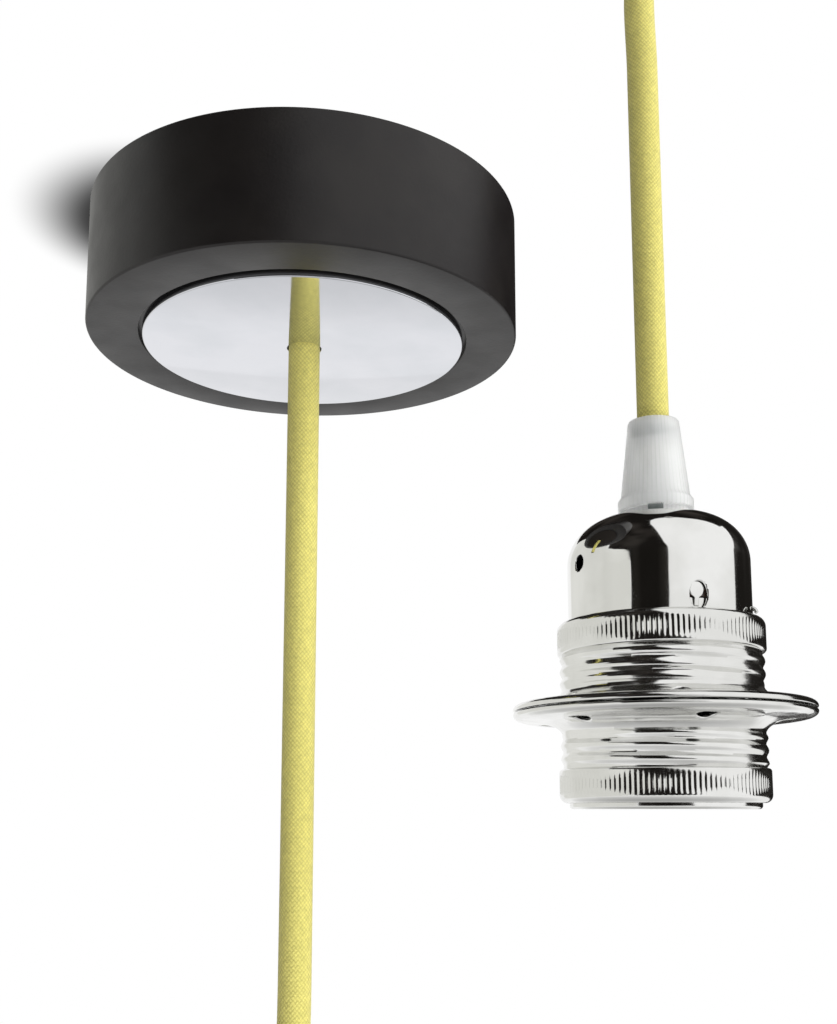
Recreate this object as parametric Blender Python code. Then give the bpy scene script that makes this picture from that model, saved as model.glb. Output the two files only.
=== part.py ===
"""Pendant light: a round ceiling rose, one textile cord that hangs in a swag over a
ceiling hook, and a bare metal lamp holder with two shade rings.
Metres, +Z up. The origin is the centre of the rose's ceiling face."""
from math import atan2, cos, pi, radians, sin, sqrt

import bmesh
import bpy
from mathutils import Matrix, Vector

# Clearances
GAP = 0.0003  # between pieces that touch
THREAD_PLAY = 0.00035  # between a thread's crest and the ring that runs on it

# Ceiling rose
ROSE_RADIUS = 0.0475
ROSE_HEIGHT = 0.027
ROSE_SHEET = 0.0012
ROSE_EDGE = 0.0009
DISC_RADIUS = 0.0356
DISC_THICKNESS = 0.0020
DISC_PROUD = 0.0010
DISC_EDGE = 0.0003
DISC_LIP = 0.0008  # depth of the close hole at the disc's face
SHADOW_GAP = 0.0004
LEDGE_WIDTH = 0.0030
SCREW_SPACE = 0.0030
BUSH_WALL = 0.0007
BUSH_FLANGE = 0.0010
BUSH_RING = 0.0014
MAGNET_RADIUS = 0.0040
MAGNET_CIRCLE = 0.0210
MAGNET_COUNT = 3
ROSE_SEGMENTS = 48

# Bracket, screws and terminals inside the rose
BRACKET_SHEET = 0.0015
BRACKET_WIDTH = 0.0150
BRACKET_INSET = 0.0036  # from the disc's edge to the strap's end
BRACKET_FOOT = 0.0110
TAP_INSET = 0.0080  # from the strap's end to its tapped holes
TAP_DEPTH = 0.0060
BRACKET_SLOT_RADIUS = 0.0022
BRACKET_SLOT_X = 0.0115
ROSE_SCREW_RADIUS = 0.0019
ROSE_SCREW_HEAD = 0.0036
ROSE_SCREW_HEAD_HEIGHT = 0.0021
CLAMP_RADIUS = 0.0085
CLAMP_HEIGHT = 0.0090
CLAMP_SCREW_RADIUS = 0.0016
CLAMP_SCREW_LENGTH = 0.0060
BLOCK_SIZE = (0.0100, 0.0270, 0.0090)
BLOCK_CENTRE_X = 0.0200
POLE_PITCH = 0.0085
POLE_WIRE_HOLE = 0.0016
POLE_SCREW_RADIUS = 0.0017

# Cord
CORD_RADIUS = 0.0035
SHEATH_RADIUS = 0.0029
CORE_RADIUS = 0.0009
CORD_STEPS = 72
LEG_X = 0.136  # the free leg that rises to the hook
SWAG_DROP = 0.335  # from the ceiling down to the lowest point of the loop
LOOP_DEPTH = 0.130
ARCH_RISE = 0.0915  # from the ceiling up to the top of the arch over the hook
LEG_POINTS = 5
LOOP_POINTS = 10
ARCH_POINTS = 6

# Lamp holder, downwards from the top of its cord grip
HOLDER_X = 0.078
HOLDER_DROP = 0.0453  # from the ceiling down to the top of the cord grip
GRIP_TOP_RADIUS = 0.0056
GRIP_FOOT_RADIUS = 0.0075
GRIP_CONE_HEIGHT = 0.0178
GRIP_LIP_RADIUS = 0.0082
GRIP_LIP_HEIGHT = 0.0026
GRIP_WALL = 0.0012
GRIP_COLLAR = 0.0040
GRIP_BASE_RADIUS = 0.0079
GRIP_BASE_HEIGHT = 0.0012
GRIP_SPIGOT = 0.0090
NIPPLE_RADIUS = 0.0050
NIPPLE_BORE = 0.0036
NIPPLE_DROP = 0.0075
WASHER_RADIUS = 0.0072
WASHER_THICKNESS = 0.0008
NUT_ACROSS_FLATS = 0.0130
NUT_HEIGHT = 0.0030
CAP_RADIUS = 0.0196
CAP_WALL = 0.0006
CAP_SHOULDER = 0.0110  # how far the shoulder's curve reaches inwards
CAP_SHOULDER_DROP = 0.0105
CAP_HEIGHT = 0.0265
CAP_ROUND_HOLE = 0.0018
CAP_ROUND_HOLE_DROP = 0.0112
CAP_ROUND_HOLE_TURN = -68.3  # degrees from the front, to the right
WINDOW_WIDTH = 0.0040
WINDOW_HEIGHT = 0.0057
WINDOW_DROP = 0.0203
WINDOW_TURN = 12.0
SLEEVE_RADIUS = 0.0200
THREAD_RADIUS = 0.0203
SLEEVE_WALL = 0.0007
SLEEVE_NECK = 0.0060
SLEEVE_LENGTH = 0.0362
SLEEVE_PLAIN_END = 0.0030
RIM_HEIGHT = 0.0014
RIM_WIDTH = 0.0020
RING_HEIGHT = 0.0192
RING_SHEET = 0.0005
RING_BAND_RADIUS = 0.0221
RING_RIDGE_RADIUS = 0.0217
RING_FLANGE_RADIUS = 0.0319
RING_FLANGE_LIP = 0.0017
RING_MARGIN = 0.0018
RING_BAND_HEIGHT = 0.0040
RING_PLAIN_HEIGHT = 0.0014
RIDGE_PITCH = 0.00278
RIDGE_COUNT = 3
KNURL_COUNT = 60
KNURL_DEPTH = 0.00035
RING_TOP_DROP = 0.0232  # from the cap's top to the upper ring's free edge
VENT_RADIUS = 0.0021
VENT_CIRCLE = 0.0250
VENT_COUNT = 6
UPPER_VENT_TURN = -3.0
LOWER_VENT_TURN = 8.0
HOLDER_SEGMENTS = 36

# Insert of the lamp holder
INSERT_FLANGE_HEIGHT = 0.0016
INSERT_RISE = 0.0018
INSERT_DEPTH = 0.0130
LINER_WALL = 0.0042
SHELL_BORE = 0.0134
SHELL_SHEET = 0.0004
SHELL_PITCH = 0.0036
SHELL_WAVE = 0.0006
SHELL_TURNS = 5
TERMINAL_CIRCLE = 0.0112
TERMINAL_SIZE = (0.0060, 0.0050, 0.0050)
TERMINAL_SCREW_RADIUS = 0.0014
TERMINAL_SCREW_HEAD = 0.0022
CONTACT_WIDTH = 0.0050
CONTACT_SHEET = 0.0005
CONTACT_REACH = 0.0080
CONTACT_DROP = 0.0036
CONTACT_BEND = 0.55  # share of the reach where the strip bends down
CONTACT_PAD = 0.35  # share of the reach that the raised pad takes
CONTACT_LIP = 0.50
CONTACT_RETURN = 0.25
CONTACT_ROOT = 0.40
CORE_BEND = 0.55  # share of the way out where a core turns up
CORE_DIP = 0.0012

# Ceiling hook that carries the swag
HOOK_WIRE = 0.0020
HOOK_BOWL = 0.0085
HOOK_SHANK = 0.0080
HOOK_PLATE_RADIUS = 0.0110
HOOK_PLATE_THICKNESS = 0.0020

# Heights that follow from the sizes above
disc_top = -ROSE_HEIGHT - DISC_PROUD + DISC_THICKNESS
ledge_z = disc_top + GAP
floor_z = ledge_z + SCREW_SPACE
floor_top = floor_z + ROSE_SHEET
bush_bore = CORD_RADIUS + GAP
disc_hole = bush_bore + BUSH_WALL + GAP
clamp_top = floor_top + GAP + CLAMP_HEIGHT
cord_start_z = clamp_top - 0.0010
block_top = -BRACKET_SHEET - GAP
block_z = block_top - BLOCK_SIZE[2] / 2

bracket_half = DISC_RADIUS - BRACKET_INSET
screw_x = bracket_half - TAP_INSET

grip_top = -HOLDER_DROP
grip_foot_z = grip_top - GRIP_CONE_HEIGHT - GRIP_LIP_HEIGHT
grip_base_top = grip_foot_z - GAP
cap_top = grip_base_top - GRIP_BASE_HEIGHT - GAP
cap_foot = cap_top - CAP_HEIGHT
sleeve_top = cap_foot - GAP
sleeve_foot = sleeve_top - SLEEVE_LENGTH
neck_radius = CAP_RADIUS - CAP_WALL - GAP
neck_top = sleeve_top + SLEEVE_NECK
flange_z = cap_top - RING_TOP_DROP - RING_HEIGHT
insert_seat = neck_top + GAP
insert_top = insert_seat + INSERT_FLANGE_HEIGHT + INSERT_RISE
insert_foot = insert_seat - INSERT_DEPTH
liner_foot = sleeve_foot + RIM_HEIGHT + GAP
liner_top = insert_foot - GAP
liner_radius = SLEEVE_RADIUS - SLEEVE_WALL - GAP
cord_end_z = grip_top - 0.0025
sheath_end_z = cap_top - CAP_WALL - NIPPLE_DROP - 0.0010

# The arch of the cord is a half circle over the hook, between the free leg and the holder
HOOK_X = (LEG_X + HOLDER_X) / 2
arch_radius = (LEG_X - HOLDER_X) / 2
arch_z = ARCH_RISE - arch_radius
loop_z = LOOP_DEPTH - SWAG_DROP

for old in list(bpy.data.objects):
    bpy.data.objects.remove(old, do_unlink=True)


def material(name, colour, roughness, metallic=0.0, alpha=1.0):
    made = bpy.data.materials.new(name)
    made.use_nodes = True
    shader = made.node_tree.nodes["Principled BSDF"]
    shader.inputs["Base Color"].default_value = (*colour, 1.0)
    shader.inputs["Roughness"].default_value = roughness
    shader.inputs["Metallic"].default_value = metallic
    shader.inputs["Alpha"].default_value = alpha
    made.diffuse_color = (*colour, alpha)
    return made


BLACK_LACQUER = material("black_lacquer", (0.035, 0.033, 0.032), 0.42)
POLISHED_STEEL = material("polished_steel", (0.72, 0.73, 0.75), 0.12, 1.0)
CHROME = material("chrome_plate", (0.78, 0.79, 0.80), 0.06, 1.0)
ZINC_STEEL = material("zinc_steel", (0.55, 0.56, 0.56), 0.35, 1.0)
BRASS = material("brass", (0.70, 0.53, 0.27), 0.28, 1.0)
NYLON = material("white_nylon", (0.82, 0.81, 0.78), 0.45)
FROSTED = material("frosted_plastic", (0.80, 0.82, 0.83), 0.40, 0.0, 0.6)
PHENOLIC = material("brown_phenolic", (0.060, 0.038, 0.026), 0.40)
RUBBER = material("black_rubber", (0.02, 0.02, 0.02), 0.70)
BRAID = material("yellow_green_braid", (0.62, 0.56, 0.13), 0.85)
SHEATH = material("white_sheath", (0.80, 0.80, 0.78), 0.50)
CORE_COLOURS = {
    "brown": material("brown_core", (0.18, 0.07, 0.03), 0.45),
    "blue": material("blue_core", (0.04, 0.14, 0.45), 0.45),
    "earth": material("green_yellow_core", (0.30, 0.50, 0.05), 0.45),
}


def finished(name, bm, surface, parent=None, sharp=32.0):
    """Turn a bmesh into a smooth-shaded object whose faces point outwards."""
    bmesh.ops.remove_doubles(bm, verts=bm.verts, dist=1e-7)
    bmesh.ops.recalc_face_normals(bm, faces=bm.faces)
    mesh = bpy.data.meshes.new(name)
    bm.to_mesh(mesh)
    bm.free()
    mesh.materials.append(surface)
    mesh.shade_smooth()
    mesh.set_sharp_from_angle(angle=radians(sharp))
    made = bpy.data.objects.new(name, mesh)
    bpy.context.scene.collection.objects.link(made)
    made.parent = parent
    return made


def turned(name, profile, surface, parent=None, segments=HOLDER_SEGMENTS):
    """Spin a profile of (radius, height) points round the Z axis. A profile that starts and
    ends on the axis is a solid of revolution, and any other is closed into a ring."""
    bm = bmesh.new()
    points = [bm.verts.new((radius, 0.0, height)) for radius, height in profile]
    edges = [bm.edges.new(pair) for pair in zip(points, points[1:])]
    if profile[0][0] > 0:
        edges.append(bm.edges.new((points[-1], points[0])))
    bmesh.ops.spin(
        bm, geom=points + edges, axis=(0, 0, 1), cent=(0, 0, 0),
        steps=segments, angle=2 * pi, use_merge=True,
    )
    return finished(name, bm, surface, parent)


def arc(centre, radii, start, end, steps):
    """Points of an elliptical arc in (radius, height), from start to end degrees."""
    turns = [radians(start + (end - start) * i / steps) for i in range(steps + 1)]
    return [(centre[0] + radii[0] * cos(t), centre[1] + radii[1] * sin(t)) for t in turns]


def extruded(name, outline, depth, surface, parent=None, axis="Y"):
    """Extrude a flat outline by depth, centred on its own plane. The outline lies in XZ for
    axis Y and in XY for axis Z."""
    bm = bmesh.new()
    if axis == "Y":
        points = [bm.verts.new((a, -depth / 2, b)) for a, b in outline]
        way = Vector((0, depth, 0))
    else:
        points = [bm.verts.new((a, b, -depth / 2)) for a, b in outline]
        way = Vector((0, 0, depth))
    face = bm.faces.new(points)
    side = bmesh.ops.extrude_face_region(bm, geom=[face])
    moved = [item for item in side["geom"] if isinstance(item, bmesh.types.BMVert)]
    bmesh.ops.translate(bm, verts=moved, vec=way)
    return finished(name, bm, surface, parent)


def block(name, size, surface, parent=None, edge=0.0):
    bm = bmesh.new()
    bmesh.ops.create_cube(bm, size=1.0)
    bmesh.ops.scale(bm, vec=size, verts=bm.verts)
    if edge > 0:
        bmesh.ops.bevel(
            bm, geom=bm.edges[:], offset=edge, segments=1, affect="EDGES", profile=0.5
        )
    return finished(name, bm, surface, parent)


def rod_cutter(name, radius, length, parent=None, stretch=1.0, segments=24):
    """A cylinder along Z that cuts a hole. Stretch makes it an oval, taller along its Y."""
    bm = bmesh.new()
    bmesh.ops.create_cone(
        bm, cap_ends=True, segments=segments, radius1=radius, radius2=radius, depth=length
    )
    bmesh.ops.scale(bm, vec=(1.0, stretch, 1.0), verts=bm.verts)
    made = finished(name, bm, RUBBER, parent)
    made.hide_render = True
    made.display_type = "WIRE"
    return made


def cut(piece, tool):
    step = piece.modifiers.new("cut_" + tool.name, "BOOLEAN")
    step.operation = "DIFFERENCE"
    step.solver = "EXACT"
    step.object = tool


def front_turned(tool, turn, radius, height):
    """Point a cutter outwards through a wall at a bearing in degrees from the front (-Y)."""
    bearing = radians(turn)
    outwards = Vector((sin(bearing), -cos(bearing), 0.0))
    upright = Vector((0.0, 0.0, 1.0))
    sideways = upright.cross(outwards)
    place = Matrix((sideways, upright, outwards)).transposed().to_4x4()
    place.translation = outwards * radius + upright * height
    tool.matrix_local = place


def smooth_line(points, steps):
    """Catmull-Rom curve through the points, read at equal steps of its own length."""
    ends = [points[0] * 2 - points[1], *points, points[-1] * 2 - points[-2]]
    fine = []
    for a, b, c, d in zip(ends, ends[1:], ends[2:], ends[3:]):
        for k in range(24):
            t = k / 24
            fine.append(
                (2 * b + (c - a) * t + (2 * a - 5 * b + 4 * c - d) * t * t
                 + (3 * b - 3 * c + d - a) * t ** 3) / 2
            )
    fine.append(points[-1])
    reached = [0.0]
    for a, b in zip(fine, fine[1:]):
        reached.append(reached[-1] + (b - a).length)
    line = []
    here = 0
    for k in range(steps + 1):
        want = reached[-1] * k / steps
        while here < len(fine) - 2 and reached[here + 1] < want:
            here += 1
        span = reached[here + 1] - reached[here]
        line.append(fine[here].lerp(fine[here + 1], (want - reached[here]) / span))
    return line


def tube(name, line, radius, surface, parent=None, resolution=2):
    curve = bpy.data.curves.new(name, "CURVE")
    curve.dimensions = "3D"
    curve.bevel_depth = radius
    curve.bevel_resolution = resolution
    curve.use_fill_caps = True
    spline = curve.splines.new("POLY")
    spline.points.add(len(line) - 1)
    for point, place in zip(spline.points, line):
        point.co = (*place, 1.0)
    spline.use_smooth = True
    curve.materials.append(surface)
    made = bpy.data.objects.new(name, curve)
    bpy.context.scene.collection.objects.link(made)
    made.parent = parent
    return made


def empty(name, place):
    made = bpy.data.objects.new(name, None)
    made.location = place
    bpy.context.scene.collection.objects.link(made)
    return made


def make_canopy(rose):
    """Pressed cup: outer wall, flat bottom ring, a ledge for the disc and a raised floor."""
    opening = DISC_RADIUS + SHADOW_GAP
    step = opening - LEDGE_WIDTH
    inside = ROSE_RADIUS - ROSE_SHEET
    profile = [
        (ROSE_RADIUS, 0.0),
        *arc((ROSE_RADIUS - ROSE_EDGE, -ROSE_HEIGHT + ROSE_EDGE), (ROSE_EDGE, ROSE_EDGE), 0, -90, 2),
        (opening, -ROSE_HEIGHT),
        (opening, ledge_z),
        (step, ledge_z),
        (step, floor_z),
        (disc_hole + BUSH_RING + GAP, floor_z),
        (disc_hole + BUSH_RING + GAP, floor_top),
        (step + ROSE_SHEET, floor_top),
        (step + ROSE_SHEET, ledge_z + ROSE_SHEET),
        (opening + ROSE_SHEET, ledge_z + ROSE_SHEET),
        (opening + ROSE_SHEET, -ROSE_HEIGHT + ROSE_SHEET),
        (inside, -ROSE_HEIGHT + ROSE_SHEET),
        (inside, 0.0),
    ]
    canopy = turned("rose_canopy", profile, BLACK_LACQUER, rose, ROSE_SEGMENTS)
    for side in (-1, 1):
        hole = rod_cutter(f"canopy_screw_hole_{side}", ROSE_SCREW_RADIUS + GAP, TAP_DEPTH, rose, segments=16)
        hole.location = (side * screw_x, 0.0, floor_z)
        cut(canopy, hole)


def make_disc(rose):
    """Polished plate that stands a little proud of the bottom ring."""
    foot = disc_top - DISC_THICKNESS
    turned("rose_disc", [
        (DISC_RADIUS - DISC_EDGE, foot),
        (bush_bore, foot),
        (bush_bore, foot + DISC_LIP),
        (disc_hole, foot + DISC_LIP),
        (disc_hole, disc_top),
        (DISC_RADIUS, disc_top),
        (DISC_RADIUS, foot + DISC_EDGE),
    ], POLISHED_STEEL, rose, ROSE_SEGMENTS)
    outer = bush_bore + BUSH_WALL
    collar = outer + BUSH_RING
    turned("cord_bush", [
        (bush_bore, foot + DISC_LIP + GAP),
        (outer, foot + DISC_LIP + GAP),
        (outer, disc_top + GAP),
        (collar, disc_top + GAP),
        (collar, disc_top + GAP + BUSH_FLANGE),
        (bush_bore, disc_top + GAP + BUSH_FLANGE),
    ], RUBBER, rose, 24)
    for k in range(MAGNET_COUNT):
        bearing = radians(90 + 360 * k / MAGNET_COUNT)
        magnet = turned(f"disc_magnet_{k + 1}", [
            (0.0, disc_top + GAP), (MAGNET_RADIUS, disc_top + GAP),
            (MAGNET_RADIUS, floor_z - GAP), (0.0, floor_z - GAP),
        ], ZINC_STEEL, rose, 20)
        magnet.location = (MAGNET_CIRCLE * cos(bearing), MAGNET_CIRCLE * sin(bearing), 0.0)


def make_bracket(rose):
    """Hat-shaped strap: flat against the ceiling, two legs, and two tapped feet."""
    t = BRACKET_SHEET
    half = bracket_half
    foot_z = floor_top + GAP
    inner = half - BRACKET_FOOT
    bracket = extruded("mounting_bracket", [
        (-half, 0.0), (half, 0.0), (half, foot_z), (inner, foot_z), (inner, foot_z + t),
        (half - t, foot_z + t), (half - t, -t), (t - half, -t), (t - half, foot_z + t),
        (-inner, foot_z + t), (-inner, foot_z), (-half, foot_z),
    ], BRACKET_WIDTH, ZINC_STEEL, rose)
    for side in (-1, 1):
        slot = rod_cutter(
            f"bracket_slot_{side}", BRACKET_SLOT_RADIUS, 4 * t, rose, stretch=2.0, segments=16
        )
        slot.location = (side * BRACKET_SLOT_X, 0.0, -t / 2)
        cut(bracket, slot)
        x = side * screw_x
        hole = rod_cutter(f"bracket_tap_{side}", ROSE_SCREW_RADIUS + GAP, TAP_DEPTH, rose, segments=16)
        hole.location = (x, 0.0, foot_z + t / 2)
        cut(bracket, hole)
        head = floor_z - GAP
        screw = turned(f"canopy_screw_{1 if side < 0 else 2}", [
            (0.0, head - ROSE_SCREW_HEAD_HEIGHT),
            (ROSE_SCREW_HEAD * 0.75, head - ROSE_SCREW_HEAD_HEIGHT),
            (ROSE_SCREW_HEAD, head - ROSE_SCREW_HEAD_HEIGHT * 0.5),
            (ROSE_SCREW_HEAD, head),
            (ROSE_SCREW_RADIUS, head),
            (ROSE_SCREW_RADIUS, foot_z + t + 0.0015),
            (0.0, foot_z + t + 0.0015),
        ], ZINC_STEEL, rose, 16)
        screw.location = (x, 0.0, 0.0)


def make_rose_clamp(rose):
    """Strain relief: a nylon collar on the canopy's floor, with its pinching screw."""
    clamp = turned("rose_cord_clamp", [
        (bush_bore, floor_top + GAP), (CLAMP_RADIUS, floor_top + GAP),
        (CLAMP_RADIUS, clamp_top - 0.0008), (CLAMP_RADIUS - 0.0008, clamp_top),
        (bush_bore, clamp_top),
    ], NYLON, rose, 32)
    middle = floor_top + GAP + CLAMP_HEIGHT / 2
    hole = rod_cutter("clamp_screw_hole", CLAMP_SCREW_RADIUS + GAP, 0.012, rose, segments=16)
    hole.rotation_euler = (radians(90), 0.0, 0.0)
    hole.location = (0.0, CLAMP_RADIUS, middle)
    cut(clamp, hole)
    screw = turned("clamp_screw", [
        (0.0, 0.0), (CLAMP_SCREW_RADIUS, 0.0), (CLAMP_SCREW_RADIUS, CLAMP_SCREW_LENGTH),
        (0.0, CLAMP_SCREW_LENGTH),
    ], ZINC_STEEL, rose, 16)
    screw.rotation_euler = (radians(-90), 0.0, 0.0)
    screw.location = (0.0, bush_bore, middle)


def make_terminal_block(rose):
    """Three-pole block under the strap, with its screws and the cord's three cores."""
    base = block("rose_terminal_block", BLOCK_SIZE, NYLON, rose, edge=0.0006)
    base.location = (BLOCK_CENTRE_X, 0.0, block_z)
    near = BLOCK_CENTRE_X - BLOCK_SIZE[0] / 2
    foot = block_z - BLOCK_SIZE[2] / 2
    for k, core in enumerate(("brown", "earth", "blue")):
        y = (k - 1) * POLE_PITCH
        wire_hole = rod_cutter(f"pole_wire_hole_{k}", POLE_WIRE_HOLE, 0.008, rose, segments=16)
        wire_hole.rotation_euler = (0.0, radians(90), 0.0)
        wire_hole.location = (near, y, block_z + 0.0008)
        cut(base, wire_hole)
        screw_hole = rod_cutter(
            f"pole_screw_hole_{k}", POLE_SCREW_RADIUS + GAP, 0.0060, rose, segments=16
        )
        screw_hole.location = (BLOCK_CENTRE_X + 0.0020, y, foot)
        cut(base, screw_hole)
        screw = turned(f"rose_terminal_screw_{k + 1}", [
            (0.0, foot - 0.0006), (POLE_SCREW_RADIUS, foot - 0.0006),
            (POLE_SCREW_RADIUS, foot + 0.0027), (0.0, foot + 0.0027),
        ], BRASS, rose, 16)
        screw.location = (BLOCK_CENTRE_X + 0.0020, y, 0.0)
        bearing = radians(120 * (k - 1))
        begin = Vector((-0.0016 * cos(bearing), 0.0016 * sin(bearing), cord_start_z + GAP))
        end = Vector((near + 0.0025, y, block_z + 0.0008))
        line = smooth_line([
            begin,
            begin + Vector((0.0, 0.0, 0.0022)),
            Vector((0.005, y * 0.45, (begin.z + end.z) / 2 + 0.0022)),
            end - Vector((0.0055, 0.0, 0.0)),
            end,
        ], 9)
        tube(f"rose_core_{core}", line, CORE_RADIUS, CORE_COLOURS[core], rose)


def swag_route():
    """Points of the cord's centreline: down from the rose, round a half-oval loop, up the free
    leg, over the half-circle arch and down to the lamp holder."""
    half = LEG_X / 2
    route = [(0.0, cord_start_z + (loop_z - cord_start_z) * k / LEG_POINTS) for k in range(LEG_POINTS)]
    for k in range(LOOP_POINTS + 1):
        turn = pi * k / LOOP_POINTS
        route.append((half - half * cos(turn), loop_z - LOOP_DEPTH * sin(turn)))
    route += [(LEG_X, loop_z + (arch_z - loop_z) * k / LEG_POINTS) for k in range(1, LEG_POINTS)]
    for k in range(ARCH_POINTS + 1):
        turn = pi * k / ARCH_POINTS
        route.append((HOOK_X + arch_radius * cos(turn), arch_z + arch_radius * sin(turn)))
    route += [(HOLDER_X, arch_z + (cord_end_z - arch_z) * k / LEG_POINTS) for k in range(1, LEG_POINTS + 1)]
    return [Vector((x, 0.0, z)) for x, z in route]


def make_cord():
    line = smooth_line(swag_route(), CORD_STEPS)
    tube("textile_cord", line, CORD_RADIUS, BRAID)
    return line


def arch_underside(line):
    """Lowest height of the cord's underside over the width of the hook's wire."""
    heights = []
    for a, b in zip(line, line[1:]):
        for x in (HOOK_X - HOOK_WIRE, HOOK_X, HOOK_X + HOOK_WIRE):
            if min(a.x, b.x) <= x <= max(a.x, b.x) and min(a.z, b.z) > 0.0:
                share = (x - a.x) / (b.x - a.x)
                slope = (b.z - a.z) / (b - a).length
                heights.append(a.z + (b.z - a.z) * share - CORD_RADIUS / sqrt(1 - slope * slope))
    return min(heights)


def make_hook(line):
    """Bent-wire hook under a round plate. The cord's arch lies in its bowl."""
    bowl_foot = arch_underside(line) - GAP - HOOK_WIRE
    bowl_z = bowl_foot + HOOK_BOWL
    shank_z = bowl_z + HOOK_BOWL
    plate_foot = shank_z + HOOK_SHANK
    bowl = [
        Vector((0.0, HOOK_BOWL * cos(t), bowl_z + HOOK_BOWL * sin(t)))
        for t in (radians(200 + 160 * i / 12) for i in range(13))
    ]
    turn = [
        Vector((0.0, HOOK_BOWL * cos(t), bowl_z + HOOK_BOWL * sin(t)))
        for t in (radians(15 + 75 * i / 6) for i in range(7))
    ]
    line = smooth_line([*bowl, *turn[:-1], Vector((0.0, 0.0, shank_z + 0.0022)),
                        Vector((0.0, 0.0, plate_foot + 0.0005))], 28)
    wire = tube("ceiling_hook_wire", line, HOOK_WIRE, CHROME)
    plate = turned("ceiling_hook", [
        (0.0, plate_foot), (HOOK_PLATE_RADIUS - 0.0006, plate_foot),
        (HOOK_PLATE_RADIUS, plate_foot + 0.0006),
        (HOOK_PLATE_RADIUS, plate_foot + HOOK_PLATE_THICKNESS),
        (0.0, plate_foot + HOOK_PLATE_THICKNESS),
    ], CHROME, None, 32)
    plate.location = (HOOK_X, 0.0, 0.0)
    bent = bpy.data.meshes.new_from_object(wire)
    bpy.data.objects.remove(wire, do_unlink=True)
    arm = bpy.data.objects.new("hook_arm", bent)
    arm.location = plate.location
    arm.hide_render = True
    arm.display_type = "WIRE"
    bpy.context.scene.collection.objects.link(arm)
    join = plate.modifiers.new("join_arm", "BOOLEAN")
    join.operation = "UNION"
    join.solver = "EXACT"
    join.object = arm


def make_grip(holder):
    """Frosted compression grip: a tapered nut over a slim base with its spigot."""
    bore = CORD_RADIUS + GAP
    spigot = NIPPLE_RADIUS + GAP + 0.0009
    cone_foot = grip_top - GRIP_CONE_HEIGHT
    spigot_top = grip_base_top + GRIP_SPIGOT
    slope = (GRIP_FOOT_RADIUS - GRIP_TOP_RADIUS) / GRIP_CONE_HEIGHT
    shelf = grip_top - GRIP_COLLAR
    room = GRIP_TOP_RADIUS + slope * (GRIP_COLLAR + 0.0015) - GRIP_WALL
    low_room = GRIP_FOOT_RADIUS - GRIP_WALL + 0.0002
    turned("grip_nut", [
        (bore, grip_top),
        (GRIP_TOP_RADIUS - 0.0004, grip_top),
        (GRIP_TOP_RADIUS, grip_top - 0.0006),
        (GRIP_FOOT_RADIUS, cone_foot + 0.0006),
        (GRIP_LIP_RADIUS - 0.0004, cone_foot),
        (GRIP_LIP_RADIUS, cone_foot - 0.0006),
        (GRIP_LIP_RADIUS, grip_foot_z + 0.0003),
        (GRIP_LIP_RADIUS - 0.0003, grip_foot_z),
        (max(low_room, spigot + GAP), grip_foot_z),
        (max(low_room, spigot + GAP), spigot_top + GAP),
        (max(room, bore + 0.0004), shelf - 0.0015),
        (bore, shelf),
    ], FROSTED, holder, 28)
    base_foot = grip_base_top - GRIP_BASE_HEIGHT
    thread = NIPPLE_RADIUS + GAP
    turned("grip_base", [
        (thread, base_foot),
        (GRIP_BASE_RADIUS, base_foot),
        (GRIP_BASE_RADIUS, grip_base_top),
        (spigot, grip_base_top),
        (spigot, spigot_top - 0.0006),
        (spigot - 0.0006, spigot_top),
        (thread, spigot_top),
    ], FROSTED, holder, 28)
    turned("threaded_nipple", [
        (NIPPLE_BORE, cap_top - CAP_WALL - NIPPLE_DROP),
        (NIPPLE_RADIUS, cap_top - CAP_WALL - NIPPLE_DROP),
        (NIPPLE_RADIUS, spigot_top - 0.0015),
        (NIPPLE_BORE, spigot_top - 0.0015),
    ], ZINC_STEEL, holder, 20)
    top = cap_top - CAP_WALL - GAP
    turned("lock_washer", [
        (NIPPLE_RADIUS + GAP, top - WASHER_THICKNESS), (WASHER_RADIUS, top - WASHER_THICKNESS),
        (WASHER_RADIUS, top), (NIPPLE_RADIUS + GAP, top),
    ], ZINC_STEEL, holder, 24)
    nut_top = top - WASHER_THICKNESS - GAP
    corner = NUT_ACROSS_FLATS / sqrt(3)
    hexagon = [(corner * cos(radians(60 * k)), corner * sin(radians(60 * k))) for k in range(6)]
    nut = extruded("lock_nut", hexagon, NUT_HEIGHT, ZINC_STEEL, holder, "Z")
    nut.location = (0.0, 0.0, nut_top - NUT_HEIGHT / 2)
    tap = rod_cutter("nut_bore", NIPPLE_RADIUS + GAP, NUT_HEIGHT * 2, holder)
    tap.location = nut.location
    cut(nut, tap)


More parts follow.
